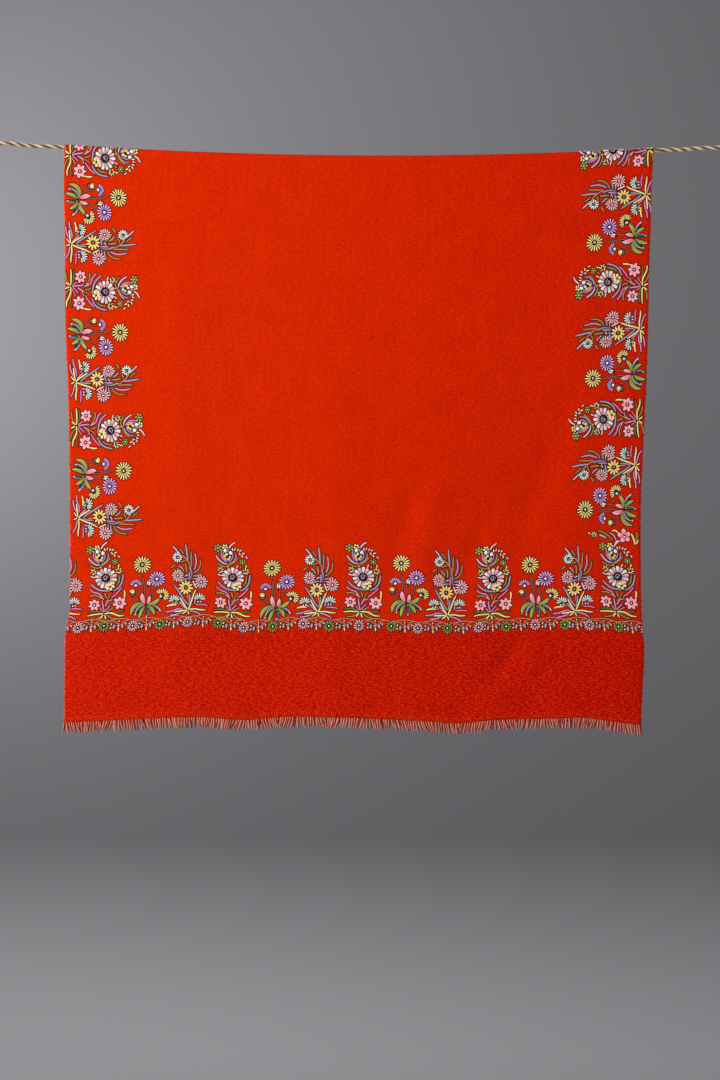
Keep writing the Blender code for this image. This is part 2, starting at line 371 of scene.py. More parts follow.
def newGroup(name, inputs, outputs):
    group = bpy.data.node_groups.new(name, "ShaderNodeTree")
    for label, kind, value in inputs:
        socket = group.interface.new_socket(name=label, in_out="INPUT", socket_type=kind)
        if value is not None:
            socket.default_value = value
    for label, kind in outputs:
        group.interface.new_socket(name=label, in_out="OUTPUT", socket_type=kind)
    return group, addNode(group, "NodeGroupInput", (-900, 0)), addNode(group, "NodeGroupOutput", (900, 0))


def mathNode(tree, place, operation, one, two=None, clamp=False):
    node = addNode(tree, "ShaderNodeMath", place, operation=operation, use_clamp=clamp)
    for socket, value in zip(node.inputs, (one, two)):
        if isinstance(value, (int, float)):
            socket.default_value = value
        elif value is not None:
            tree.links.new(value, socket)
    return node.outputs["Value"]


def newMaterial(name, roughness, specular=0.3, sheen=0.0, sheenTint=(1, 1, 1, 1), metallic=0.0):
    made = bpy.data.materials.new(name)
    made.use_nodes = True
    surface = made.node_tree.nodes["Principled BSDF"]
    surface.inputs["Roughness"].default_value = roughness
    surface.inputs["Metallic"].default_value = metallic
    surface.inputs["Sheen Weight"].default_value = sheen
    surface.inputs["Sheen Roughness"].default_value = 0.5
    surface.inputs["Sheen Tint"].default_value = sheenTint
    surface.inputs["Specular IOR Level"].default_value = specular
    return made, made.node_tree, surface


def useGroup(tree, group, place, vector, **values):
    node = addNode(tree, "ShaderNodeGroup", place, node_tree=group)
    tree.links.new(vector, node.inputs[0])
    for name, value in values.items():
        node.inputs[name].default_value = value
    return node


def attributeNode(tree, place, name):
    return addNode(tree, "ShaderNodeAttribute", place, attribute_type="GEOMETRY", attribute_name=name)


def partsOf(tree, place, vector):
    parts = addNode(tree, "ShaderNodeSeparateXYZ", place)
    tree.links.new(vector, parts.inputs["Vector"])
    return parts.outputs


def stretchedNoise(tree, place, vector, stretch, detail, scale=1, turn=0):  # turn in degrees
    sized = addNode(tree, "ShaderNodeMapping", (place[0] - 200, place[1]))
    sized.inputs["Scale"].default_value = stretch
    sized.inputs["Rotation"].default_value = (0, 0, math.radians(turn))
    tree.links.new(vector, sized.inputs["Vector"])
    noise = addNode(tree, "ShaderNodeTexNoise", place)
    noise.inputs["Scale"].default_value = scale
    noise.inputs["Detail"].default_value = detail
    tree.links.new(sized.outputs["Vector"], noise.inputs["Vector"])
    return noise


def makeWeaveGroup():  # plain weave: each warp thread goes over one weft thread and under the next
    group, given, put = newGroup(
        "plainWeave",
        [("Cloth", "NodeSocketVector", None), ("Pitch", "NodeSocketFloat", 0.0005)],
        [("Height", "NodeSocketFloat")],
    )
    parts = partsOf(group, (-700, 0), given.outputs["Cloth"])
    waves = []
    for k, axis in enumerate("XY"):
        threads = mathNode(group, (-500, -200 * k), "DIVIDE", parts[axis], given.outputs["Pitch"])
        turns = mathNode(group, (-300, -200 * k), "MULTIPLY", threads, math.pi)
        waves.append(mathNode(group, (-100, -200 * k), "SINE", turns))
    crossing = mathNode(group, (100, 0), "MULTIPLY", waves[0], waves[1])
    half = mathNode(group, (300, 0), "MULTIPLY", crossing, 0.5)
    group.links.new(mathNode(group, (500, 0), "ADD", half, 0.5), put.inputs["Height"])
    return group


def makeTwistGroup():  # spun threads lying side by side: ridges across them, with painted highlight on their backs and painted shade between them
    group, given, put = newGroup(
        "spunThreads",
        [
            ("Thread", "NodeSocketVector", None),
            ("Pitch", "NodeSocketFloat", 0.0004),
            ("Unevenness", "NodeSocketFloat", 0.5),
        ],
        [("Height", "NodeSocketFloat"), ("Tone", "NodeSocketFloat")],
    )
    parts = partsOf(group, (-700, 0), given.outputs["Thread"])
    fibres = stretchedNoise(group, (-500, -250), given.outputs["Thread"], (1, 0.12, 1), 2, scale=3200)
    threads = mathNode(group, (-500, 0), "DIVIDE", parts["X"], given.outputs["Pitch"])
    shift = mathNode(group, (-300, -200), "MULTIPLY", fibres.outputs["Fac"], given.outputs["Unevenness"])
    moved = mathNode(group, (-100, 0), "ADD", threads, shift)
    turns = mathNode(group, (60, 0), "MULTIPLY", moved, math.pi)
    wave = mathNode(group, (220, 0), "SINE", turns)
    ridge = mathNode(group, (380, 0), "ABSOLUTE", wave)
    group.links.new(ridge, put.inputs["Height"])
    # painted highlight and shade: the tone follows the ridges' height, lighter on the threads' backs and
    # darker between them
    tone = mathNode(group, (540, -200), "MULTIPLY", ridge, 0.3)
    light = mathNode(group, (540, -400), "MULTIPLY", fibres.outputs["Fac"], 0.3)
    both = mathNode(group, (700, -300), "ADD", tone, light)
    group.links.new(mathNode(group, (760, -200), "ADD", both, 0.65), put.inputs["Tone"])
    return group


def makeSlubGroup():  # uneven yarn: long thick and thin places both ways, and small flecks
    group, given, put = newGroup(
        "yarnSlubs",
        [("Cloth", "NodeSocketVector", None), ("Amount", "NodeSocketFloat", 1.0)],
        [("Tone", "NodeSocketFloat"), ("Height", "NodeSocketFloat")],
    )
    kinds = (
        ("warp streaks", (420, 9, 1), 1, 0.10),
        ("weft streaks", (14, 520, 1), 1, 0.10),
        ("flecks", (420, 560, 1), 2, 0.22),
        ("clouds", (26, 20, 1), 3, 0.10),
    )
    total = None
    for k, (label, stretch, detail, share) in enumerate(kinds):
        noise = stretchedNoise(group, (-500, -260 * k), given.outputs["Cloth"], stretch, detail)
        noise.label = label
        centred = mathNode(group, (-300, -260 * k), "SUBTRACT", noise.outputs["Fac"], 0.5)
        part = mathNode(group, (-100, -260 * k), "MULTIPLY", centred, share * 2)
        total = part if total is None else mathNode(group, (100, -260 * k), "ADD", total, part)
    scaled = mathNode(group, (300, 0), "MULTIPLY", total, given.outputs["Amount"])
    group.links.new(mathNode(group, (500, 0), "ADD", scaled, 1), put.inputs["Tone"])
    group.links.new(scaled, put.inputs["Height"])
    return group


clothLook = {
    "field": (228, 50, 1),
    # the deep colours are reached by darker yarn, and also by painted shade towards the right side and in the
    # ripples' dips
    "fieldDeep": (204, 16, 1),
    "hemBand": (230, 44, 9),
    "hemBandDeep": (188, 2, 1),
    "lastRows": (222, 58, 14),
    "selvedge": (232, 150, 140),
    "hemBandFrom": 0.797,  # metres down from the fold
    "lastRowsFrom": 0.950,
    "weavePitch": 0.00055,
    "selvedgeWidth": 0.0022,
}


def tinted(tree, colour, tone, place):  # a colour made lighter and darker by a tone around 1
    scale = addNode(tree, "ShaderNodeVectorMath", place, operation="SCALE")
    if isinstance(colour, tuple):
        scale.inputs[0].default_value = colour[:3]
    else:
        tree.links.new(colour, scale.inputs[0])
    tree.links.new(tone, scale.inputs["Scale"])
    return scale.outputs["Vector"]


def mixColours(tree, place, share, one, two):
    mix = addNode(tree, "ShaderNodeMix", place, data_type="RGBA")
    sockets = [s for s in mix.inputs if s.type == "RGBA"]
    for socket, value in zip(sockets, (one, two)):
        if isinstance(value, tuple):
            socket.default_value = value
        else:
            tree.links.new(value, socket)
    tree.links.new(share, mix.inputs["Factor"])
    return next(s for s in mix.outputs if s.type == "RGBA")


def bumpInto(tree, surface, height, strength, distance, place):
    bump = addNode(tree, "ShaderNodeBump", place)
    bump.inputs["Strength"].default_value = strength
    bump.inputs["Distance"].default_value = distance
    tree.links.new(height, bump.inputs["Height"])
    tree.links.new(bump.outputs["Normal"], surface.inputs["Normal"])


def makeCrepeGroup():  # the crimp that crossing threads of uneven twist give: short slanted ripples
    group, given, put = newGroup(
        "crepeRipples",
        [("Cloth", "NodeSocketVector", None), ("Sharpness", "NodeSocketFloat", 3.0)],
        [("Height", "NodeSocketFloat"), ("Tone", "NodeSocketFloat")],
    )
    total = None
    for k, (stretch, slant) in enumerate((((220, 880, 1), 7), ((130, 620, 1), -5))):
        noise = stretchedNoise(group, (-500, -300 * k), given.outputs["Cloth"], stretch, 1, turn=slant)
        centred = mathNode(group, (-300, -300 * k), "SUBTRACT", noise.outputs["Fac"], 0.5)
        total = centred if total is None else mathNode(group, (-100, -300), "ADD", total, centred)
    sharp = mathNode(group, (100, 0), "MULTIPLY", total, given.outputs["Sharpness"])
    group.links.new(mathNode(group, (300, 100), "ADD", sharp, 0.5, clamp=True), put.inputs["Height"])
    # painted highlight and shade: the tone follows the ripples' height, lighter on their crests and darker in
    # their dips
    group.links.new(mathNode(group, (300, -100), "ADD", sharp, 1), put.inputs["Tone"])
    return group


def makeClothFinish(groups):
    made, tree, surface = newMaterial(
        "fineWool", 0.95, specular=0.02, sheen=0.02, sheenTint=(1, 0.2, 0.05, 1)
    )
    cut = addNode(tree, "ShaderNodeUVMap", (-1700, 0), uv_map="cut").outputs["UV"]
    parts = partsOf(tree, (-1500, 300), cut)
    down = mathNode(tree, (-1300, 300), "ABSOLUTE", parts["Y"])
    bandEdge = mathNode(tree, (-1100, 300), "SUBTRACT", down, clothLook["hemBandFrom"])
    band = mathNode(tree, (-900, 300), "MULTIPLY", bandEdge, 60, clamp=True)
    lastEdge = mathNode(tree, (-1100, 700), "SUBTRACT", down, clothLook["lastRowsFrom"])
    last = mathNode(tree, (-900, 700), "MULTIPLY", lastEdge, 90, clamp=True)
    slubs = useGroup(tree, groups["slubs"], (-1300, 0), cut, Amount=0.7)
    crepe = useGroup(tree, groups["crepe"], (-1300, -300), cut, Sharpness=4.2)
    # more speckled in the hem band, where the specks are painted highlight and shade on the crepe ripples,
    # and painted shade deepening the colour towards the right
    paintedRippleLight = mathNode(tree, (-1200, -200), "SUBTRACT", crepe.outputs["Tone"], 1)
    share = mathNode(tree, (-1200, -300), "ADD", mathNode(tree, (-1300, -300), "MULTIPLY", band, 0.65), 0.35)
    paintedRippleLight = mathNode(tree, (-1100, -200), "MULTIPLY", paintedRippleLight, share)
    uneven = mathNode(tree, (-1200, -80), "MULTIPLY", slubs.outputs["Height"], 1.3)
    # painted shade: the colour grows deeper towards the right side
    across = mathNode(tree, (-1300, 100), "MULTIPLY", parts["X"], -0.35)
    light = mathNode(tree, (-1100, 0), "ADD", uneven, mathNode(tree, (-1200, 100), "ADD", across, 0.52))
    light = mathNode(tree, (-1000, 0), "ADD", light, paintedRippleLight, clamp=True)
    field = mixColours(tree, (-700, 500), light, linear(clothLook["fieldDeep"]), linear(clothLook["field"]))
    hem = mixColours(tree, (-700, 250), light, linear(clothLook["hemBandDeep"]), linear(clothLook["hemBand"]))
    colour = mixColours(tree, (-500, 300), band, field, hem)
    lastShare = mathNode(tree, (-600, 700), "MULTIPLY", last, light)
    colour = mixColours(tree, (-400, 500), lastShare, colour, linear(clothLook["lastRows"]))
    aside = mathNode(tree, (-1300, 500), "ABSOLUTE", parts["X"])
    edgeAt = mathNode(tree, (-1100, 500), "SUBTRACT", aside, halfWidth - clothLook["selvedgeWidth"])
    edge = mathNode(tree, (-900, 500), "MULTIPLY", edgeAt, 500, clamp=True)
    dashed = mathNode(tree, (-700, 900), "MULTIPLY", edge, crepe.outputs["Height"])
    colour = mixColours(tree, (-300, 400), dashed, colour, linear(clothLook["selvedge"]))
    tree.links.new(tinted(tree, colour, slubs.outputs["Tone"], (-100, 200)), surface.inputs["Base Color"])
    weave = useGroup(tree, groups["weave"], (-900, -300), cut, Pitch=clothLook["weavePitch"])
    ripples = mathNode(tree, (-700, -600), "ADD", mathNode(tree, (-800, -600), "MULTIPLY", band, 0.9), 0.1)
    banded = mathNode(tree, (-500, -600), "MULTIPLY", crepe.outputs["Height"], ripples)
    weaveHeight = mathNode(tree, (-500, -300), "MULTIPLY", weave.outputs["Height"], 0.25)
    plain = mathNode(tree, (-300, -300), "ADD", weaveHeight, slubs.outputs["Height"])
    height = mathNode(tree, (-100, -400), "ADD", plain, banded)
    bumpInto(tree, surface, height, 0.8, 0.0006, (100, -300))
    return made


def makeThreadFinish(groups):
    made, tree, surface = newMaterial("silkThread", 0.6, specular=0.12)
    dye = attributeNode(tree, (-900, 200), "dye")
    thread = attributeNode(tree, (-900, -100), "thread").outputs["Vector"]
    ridges = useGroup(tree, groups["threads"], (-600, -100), thread, Pitch=0.00042, Unevenness=0.6)
    # painted highlight and shade: the ridges' tone lightens the threads' backs and darkens between them
    bright = mathNode(tree, (-450, 100), "ADD", ridges.outputs["Tone"], 0.22)
    tree.links.new(tinted(tree, dye.outputs["Color"], bright, (-300, 200)), surface.inputs["Base Color"])
    bumpInto(tree, surface, ridges.outputs["Height"], 0.6, 0.0003, (-200, -200))
    return made


def makeYarnFinish(groups, name, colour, deep=None):  # with a deep colour, yarns lie between the two: from painted shade to painted highlight
    made, tree, surface = newMaterial(name, 0.85, sheen=0.12, sheenTint=(1, 0.5, 0.4, 1))
    thread = attributeNode(tree, (-900, -100), "thread").outputs["Vector"]
    ridges = useGroup(tree, groups["threads"], (-600, -100), thread, Pitch=0.0003, Unevenness=1.0)
    tone = partsOf(tree, (-600, 200), thread)["Z"]
    if deep is None:
        # the ridges' tone paints shade between the threads and highlight on their backs
        shade = mathNode(tree, (-400, 200), "MULTIPLY", tone, ridges.outputs["Tone"])
        shaded = tinted(tree, linear(colour), shade, (-200, 200))
    else:
        # painted shade and highlight: the deep colour is the yarn in painted shade, the other the yarn under
        # a painted highlight
        mixed = mixColours(tree, (-400, 300), tone, linear(deep), linear(colour))
        shaded = tinted(tree, mixed, ridges.outputs["Tone"], (-200, 200))
    tree.links.new(shaded, surface.inputs["Base Color"])
    bumpInto(tree, surface, ridges.outputs["Height"], 0.5, 0.0002, (-200, -200))
    return made


juteLook = {
    "back": (255, 226, 188),
    # painted shade in the grooves where the strands turn in towards each other
    "paintedGrooveShade": (52, 22, 8),
    "fibre": (250, 206, 162),
}


def makeJuteFinish(groups):
    made, tree, surface = newMaterial("juteStrand", 0.9, sheen=0.1)
    thread = attributeNode(tree, (-1100, -100), "thread").outputs["Vector"]
    ridges = useGroup(tree, groups["threads"], (-700, -100), thread, Pitch=0.0006, Unevenness=1.6)
    outer = partsOf(tree, (-900, 300), thread)["Z"]
    # painted shade: the strands darken where they turn in towards the rope's middle, into the grooves between
    # them
    colour = mixColours(tree, (-500, 300), outer, linear(juteLook["paintedGrooveShade"]), linear(juteLook["back"]))
    # the ridges' tone paints highlight on the fibres' backs and shade between them
    bright = mathNode(tree, (-450, 100), "ADD", ridges.outputs["Tone"], 0.2)
    tree.links.new(tinted(tree, colour, bright, (-250, 200)), surface.inputs["Base Color"])
    bumpInto(tree, surface, ridges.outputs["Height"], 0.8, 0.0005, (-200, -200))
    return made


steelLook = {
    "dull": (188, 188, 184),
    "bright": (224, 223, 218),
}


def makeSteelFinish():  # drawn wire and stamped plate, satin, with a few duller patches
    made, tree, surface = newMaterial("satinSteel", 0.34, metallic=1.0)
    where = addNode(tree, "ShaderNodeTexCoord", (-1100, 0))
    brushed = stretchedNoise(tree, (-700, 0), where.outputs["Object"], (900, 60, 900), 3)
    dull = addNode(tree, "ShaderNodeTexNoise", (-700, -300))
    dull.inputs["Scale"].default_value = 160
    dull.inputs["Detail"].default_value = 4
    tree.links.new(where.outputs["Object"], dull.inputs["Vector"])
    colour = mixColours(
        tree, (-400, 200), dull.outputs["Fac"], linear(steelLook["dull"]), linear(steelLook["bright"])
    )
    tree.links.new(colour, surface.inputs["Base Color"])
    rough = mathNode(tree, (-400, -100), "MULTIPLY", brushed.outputs["Fac"], 0.3)
    tree.links.new(mathNode(tree, (-200, -100), "ADD", rough, 0.2), surface.inputs["Roughness"])
    bumpInto(tree, surface, brushed.outputs["Fac"], 0.12, 0.0002, (-200, -300))
    return made


# The cloth: one grid, the whole cut of the shawl, laid over the line
def makeCloth(finish):
    bm = bmesh.new()
    bmesh.ops.create_grid(bm, x_segments=shawl["columns"], y_segments=shawl["rows"], size=0.5)
    mesh = meshFrom(bm, "shawl_cloth")
    shares = readPoints(mesh)[:, :2]
    across = shares[:, 0] * shawl["width"]
    share = np.abs(shares[:, 1]) * 2
    length = np.where(shares[:, 1] < 0, shawl["frontLength"], -shawl["backLength"])
    along = length * (0.2 * share + 0.8 * share**1.25)  # rows lie closer near the fold
    flat = np.column_stack((across, -along, np.zeros_like(along)))
    writePoints(mesh, drape(flat))
    cut = mesh.uv_layers.new(name="cut")
    corners = np.empty(len(mesh.loops), np.int32)
    mesh.loops.foreach_get("vertex_index", corners)
    cut.data.foreach_set("uv", np.column_stack((across, along))[corners].astype(np.float32).ravel())
    piece = showPiece("shawl_cloth", mesh, finish)
    wall = piece.modifiers.new("wall", "SOLIDIFY")
    wall.thickness = shawl["thickness"]
    wall.offset = 0
    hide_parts("front_fall", "fold_over_rope", "back_fall")
    return piece


# The sewing. Plants are drawn flat in millimetres, x to the right and y up from the vine
dyes = {
    "pink": (240, 100, 122),
    "lightPink": (255, 200, 204),
    "rose": (252, 146, 160),
    "palePink": (255, 212, 210),
    "mint": (240, 248, 234),
    "deepMint": (176, 198, 182),
    "yellow": (255, 220, 112),
    "gold": (246, 186, 70),
    "cream": (255, 228, 146),
    "paleCream": (255, 238, 166),
    "olive": (170, 142, 66),
    "moss": (118, 130, 48),
    "lightMoss": (184, 184, 88),
    "darkMoss": (86, 88, 26),
    "lilac": (222, 142, 192),
    "magenta": (234, 124, 178),
    "slate": (166, 152, 176),
    "paleSlate": (204, 196, 214),
    "deepSlate": (96, 92, 112),
    "purple": (190, 108, 196),
    "palePurple": (252, 206, 248),
    "ink": (34, 30, 44),
    "salmon": (246, 146, 118),
    "orange": (250, 122, 46),
    "twig": (180, 96, 82),
    "white": (250, 250, 244),
    "outline": (14, 3, 4),
}
sewing = {
    "clothFace": 0.4,  # the heights are in millimetres over the cloth's middle
    "outlineLift": 0.15,
    "outlineGrow": 1.3,
    "slimmer": 0.9,  # share of its drawn width that a patch is sewn
    "threadLift": 0.21,
    "crown": 0.55,
    "unevenTone": 0.08,
    "middle": 60,  # where a plant turns, in millimetres up from its foot
    "backLean": 3,  # in degrees, to either side
    "trim": 0.0012,  # in metres, kept free at the selvedge
    "foldZone": 0.02,  # in metres to each side of the fold
    "foldStep": 0.0016,
}
# How wide a patch of stitches is along its length: share of the length, share of the width
patchShapes = {
    "blade": ((0, 0.12, 0.5, 0.85, 1), (0.5, 0.74, 0.84, 0.72, 0.35)),
    "stem": ((0, 0.5, 1), (0.9, 1, 0.8)),
    "petal": ((0, 0.35, 0.7, 0.9, 1), (0.4, 0.75, 1, 0.85, 0.4)),
    "point": ((0, 0.3, 0.55, 0.8, 1), (0.4, 0.95, 1, 0.6, 0.1)),
    "leaf": ((0, 0.2, 0.45, 0.75, 1), (0.3, 0.8, 1, 0.75, 0.12)),
    "wedge": ((0, 0.8, 1), (0.42, 1, 0.8)),
    "round": ((0, 0.12, 0.3, 0.5, 0.7, 0.88, 1), (0.3, 0.7, 0.93, 1, 0.93, 0.7, 0.3)),
    "bud": ((0, 0.2, 0.45, 0.8, 1), (0.55, 0.9, 1, 0.7, 0.3)),
}
hand = random.Random(4)


def newSewing():
    bm = bmesh.new()
    bm.verts.layers.float_color.new("dye")
    bm.verts.layers.float_vector.new("thread")
    return bm


def stitch(bm, dye, width, *points, shape="blade", tip=None, lengthwise=False, sides=3, steps=8, lift=0.0):
    # One patch of satin stitches along a path, over a flat dark outline a little larger than itself
    path = smoothPath(points, steps)
    length = pathLength(path)
    heading = normalised(np.gradient(path, axis=0))
    aside = np.column_stack((heading[:, 1], -heading[:, 0]))
    if len(points) == 2 and length > 12:  # a hand-sewn blade is never quite straight
        sway = hand.uniform(0.3, 0.8) * hand.choice((-1, 1))
        path = path + aside * (sway * np.sin(np.linspace(0, 2 * np.pi, steps + 1)))[:, None]
    wide = width / 2 * sewing["slimmer"] * np.interp(np.linspace(0, 1, steps + 1), *patchShapes[shape])
    root, end = np.array(linear(dyes[dye])), np.array(linear(dyes[tip or dye]))
    tone = 1 + hand.uniform(-1, 1) * sewing["unevenTone"]
    dyeLayer, threadLayer = bm.verts.layers.float_color["dye"], bm.verts.layers.float_vector["thread"]
    for outline in (True, False):
        grown = sewing["outlineGrow"] * min(1, 0.5 + width / 6) if outline else 0
        low = sewing["clothFace"] + lift + sewing["outlineLift" if outline else "threadLift"]
        crown = 0 if outline else sewing["crown"] * min(1, width / 2.5)
        across = 2 if outline else sides
        for vertex in bmesh.ops.create_grid(bm, x_segments=across, y_segments=steps, size=0.5)["verts"]:
            side, k = vertex.co.x * 2, round((vertex.co.y + 0.5) * steps)
            past = -grown if k == 0 else grown if k == steps else 0
            spot = path[k] + heading[k] * past + aside[k] * side * (wide[k] + grown)
            atEnd = 0.25 if k in (0, steps) else 1
            height = low + crown * atEnd * math.sqrt(max(0, 1 - side * side))
            vertex.co = (spot[0] / 1000, spot[1] / 1000, height / 1000)
            distance = length * k / steps
            if outline:
                vertex[dyeLayer] = linear(dyes["outline"])
            else:
                vertex[dyeLayer] = tuple((root + (end - root) * k / steps) * tone)
            over = (side * wide[k], distance) if lengthwise else (distance, side * wide[k])
            vertex[threadLayer] = (over[0] / 1000, over[1] / 1000, tone)


def turned(centre, angle, reach):
    angle = math.radians(angle)
    return (centre[0] + reach * math.cos(angle), centre[1] + reach * math.sin(angle))


def petals(
    bm, centre, radius, count, dye, tip, inner, start=90.0, sweep=360.0, share=0.66, shape="petal", lift=0.0
):
    for k in range(count):
        angle = start + sweep * ((k + 0.5) / count if sweep < 360 else k / count)
        reach = radius * hand.uniform(0.93, 1.05)
        width = math.radians(sweep) / count * radius * 0.78 * share
        stitch(
            bm, dye, width, turned(centre, angle, inner), turned(centre, angle, reach),
            shape=shape, tip=tip, lengthwise=True, sides=2, steps=3, lift=lift,
        )


def dot(bm, dye, centre, radius, tall=1.0, lift=0.3, angle=90.0):
    stitch(
        bm, dye, radius * 2, turned(centre, angle, -radius * tall), turned(centre, angle, radius * tall),
        shape="round", sides=3, steps=4, lift=lift,
    )


def daisy(bm, centre, radius, count, dye, tip, eye="white", eyeRadius=2.2, gap=1.3, share=0.62):
    petals(bm, centre, radius, count, dye, tip, inner=eyeRadius + gap, share=share)
    dot(bm, eye, centre, eyeRadius * 0.85)


def dashes(bm, places, width=2.4, length=4.8):  # short single stitches: dye, middle, angle
    for dye, middle, angle in places:
        stitch(
            bm, dye, width, turned(middle, angle, -length / 2), turned(middle, angle, length / 2),
            shape="bud", sides=2, steps=3, lift=0.1,
        )


def sprig(bm, centre, angle, reach):  # a small twig: light buds round a dark joint
    for turn, dye in (
        (-150, "cream"), (-95, "lightPink"), (-40, "cream"), (15, "paleCream"), (75, "gold"), (150, "cream"),
    ):
        middle = turned(centre, angle + turn, reach * 0.55)
        dashes(bm, ((dye, middle, angle + turn * 0.7),), 2.2, reach * 0.6)
    dot(bm, "deepSlate", centre, 1.0, lift=0.1)


def starPlant():  # the plant with the large round flower and two stars
    bm = newSewing()
    for lift, dye, width, path in (
        (0, "olive", 3.2, ((-2.1, 7.7), (-6, 3.2), (-12, 0.2), (-22, -0.8))),
        (0, "olive", 3.0, ((4.4, 7.7), (10, 3.2), (16, 0.4), (24, -0.4))),
        (0, "moss", 2.8, ((-2.1, 10.6), (-9, 13.4), (-17, 14.2), (-26.6, 12.4))),
        (0, "moss", 2.8, ((4, 10.4), (13, 11.6), (23, 10.4), (33.4, 13.4))),
        (0.4, "cream", 3.4, ((-1, 9.2), (-9, 9.4), (-18, 9.0), (-27.8, 7.2))),
        (0.4, "cream", 3.4, ((0.9, 9.6), (12, 10.0), (20, 6.6), (26, 4.2), (34.4, 4.2))),
        (0.4, "cream", 2.8, ((-1.0, 7.4), (-5.2, 0.2))),
        (0.4, "cream", 2.8, ((1.6, 7.0), (5.2, -0.6))),
        (0, "salmon", 2.2, ((-0.5, 11.6), (-3.8, 15.4), (-7.4, 21))),
        (0, "salmon", 2.2, ((2.6, 11.2), (8.8, 15), (15.4, 19.6))),
        (0, "slate", 3.2, ((1.6, 21.8), (6.4, 30.6), (14.6, 33.6))),
        (0.3, "lilac", 3.4, ((0.2, 12.8), (-1.8, 22), (-3.6, 33.4))),
        (0.3, "magenta", 3.0, ((1.2, 13.4), (6, 19), (10.4, 24.6))),
        (0, "deepMint", 3.0, ((-8, 39.4), (-4.4, 37.8), (-0.4, 33.6))),
        (0, "orange", 2.2, ((1.1, 23), (7, 36), (12.8, 46.6))),
        (0, "olive", 3.2, ((-24.6, 41.4), (-15.6, 42.6), (-7, 39.4))),
        (0.2, "magenta", 3.4, ((-24.4, 53.4), (-17, 47.4), (-7.4, 44.2), (-1.2, 34.2))),
        (0.2, "slate", 3.8, ((-22.0, 63), (-15, 55.4), (-5.2, 50.2), (11.6, 48.6))),
        (0, "olive", 3.0, ((0.2, 46), (2.6, 41), (3.2, 34.8))),
        (0.2, "magenta", 3.4, ((30, 54), (22.2, 44.6), (11.4, 35.4))),
        (0.2, "slate", 4.0, ((33, 77), (30.6, 63), (24, 53), (14.9, 48.2))),
        (0, "olive", 3.0, ((26.6, 75.4), (25.8, 64.6), (21.4, 57))),
        (0, "cream", 3.4, ((34, 48.6), (34.5, 42), (33.6, 34.6))),
        (0, "lightPink", 2.8, ((-22, 75.8), (-16, 73.8), (-10, 74.2))),
        (0.2, "paleSlate", 3.2, ((-24.6, 108.6), (-19.4, 101.2), (-12.2, 95.8), (-5.0, 94.8))),
        (0.2, "slate", 3.0, ((9.0, 114.6), (9.2, 107.6), (4.6, 100), (-3.8, 94.8))),
        (0, "olive", 3.0, ((-23.2, 95.2), (-15.4, 91), (-8.6, 89.4), (-4.6, 92.6))),
        (0, "olive", 3.0, ((12.9, 107.4), (8, 100.6), (1.6, 95.4), (-4.2, 92.4))),
        (0, "lightPink", 2.6, ((12.4, 94), (9.6, 88))),
        (0, "orange", 2.4, ((18, 92.8), (15.4, 87.6))),
    ):
        stitch(bm, dye, width, *path, lift=lift)
    stitch(bm, "gold", 2.0, (-4.6, 93), (-3.4, 88), shape="stem", steps=3)
    for centre, radius in (((-16.6, 26.0), 10.4), ((26.0, 26.8), 12.0)):
        petals(bm, centre, radius, 7, "rose", "lightPink", inner=2.6, share=0.84, shape="point", lift=0.15)
        dot(bm, "deepSlate", centre, 2.3, lift=0.4)
        dot(bm, "white", centre, 1.4, lift=0.7)
    rosette = (3.6, 71.4)
    for k in range(14):
        angle = 90 + 360 * k / 14
        dye, tip = (("deepMint", "mint"), ("pink", "lightPink"))[k % 2]
        ends = turned(rosette, angle, 7.6), turned(rosette, angle, 18.0 * hand.uniform(0.94, 1.04))
        stitch(bm, dye, 6.4, *ends, shape="wedge", tip=tip, lengthwise=True, sides=4, steps=3, lift=0.2)
    dot(bm, "ink", rosette, 6.0, lift=0.4)
    for dye, reach, begin in (("slate", 4.6, 20), ("paleSlate", 2.2, 200)):
        curl = [turned(rosette, begin + 62 * k, reach - 0.25 * k) for k in range(5)]
        stitch(bm, dye, 1.6, *curl, shape="stem", lift=0.8, steps=6)
    petals(bm, (10.2, 56.4), 7.4, 5, "yellow", "paleCream", inner=1.8, start=70, share=0.8, lift=0.5)
    dot(bm, "outline", (10.2, 56.4), 1.2, lift=0.7)
    sprig(bm, (-16.8, 83.2), 110, 7.0)
    sprig(bm, (25.6, 83.4), 80, 7.6)
    dashes(bm, (("cream", (26.2, 92.6), 88),), 2.4, 6.0)
    for dye, width, path in (  # the bloom: a cup of curved rows round gold and mint
        ("lilac", 2.6, ((-14.4, 119), (-15.4, 111.4), (-12.9, 103.6), (-6.6, 97.6))),
        ("slate", 3.0, ((-11.6, 116), (-12.2, 108.4), (-9.4, 102.4), (-5.0, 99.2))),
        ("lilac", 2.4, ((3.4, 114), (3.6, 107.4), (0.6, 102), (-2.6, 99.4))),
    ):
        stitch(bm, dye, width, *path, lift=0.1)
    for dye, spot, radius in (
        ("mint", (-9.0, 118.4), 3.2), ("mint", (0.2, 115.2), 3.3), ("deepMint", (-1.0, 107.4), 2.4),
        ("gold", (-9.4, 108.6), 2.6), ("yellow", (-6.4, 112.2), 2.4), ("gold", (-8.2, 103.6), 2.2),
        ("yellow", (-3.4, 103.4), 2.4), ("purple", (-4.9, 119.2), 3.0),
    ):
        dot(bm, dye, spot, radius, lift=0.4 if dye == "purple" else 0.2)
    dot(bm, "outline", (-5.8, 107.0), 1.2, lift=0.5)
    for centre, radius in (((-21, 122.0), 6.8), ((20.2, 99.6), 5.2)):
        petals(bm, centre, radius, 6, "moss", "lightMoss", inner=1.9, share=0.74)
        dot(bm, "paleCream", centre, 1.3)
    petals(bm, (-8.9, 124.6), 5.0, 5, "yellow", "paleCream", inner=1.4, start=60, share=0.76)
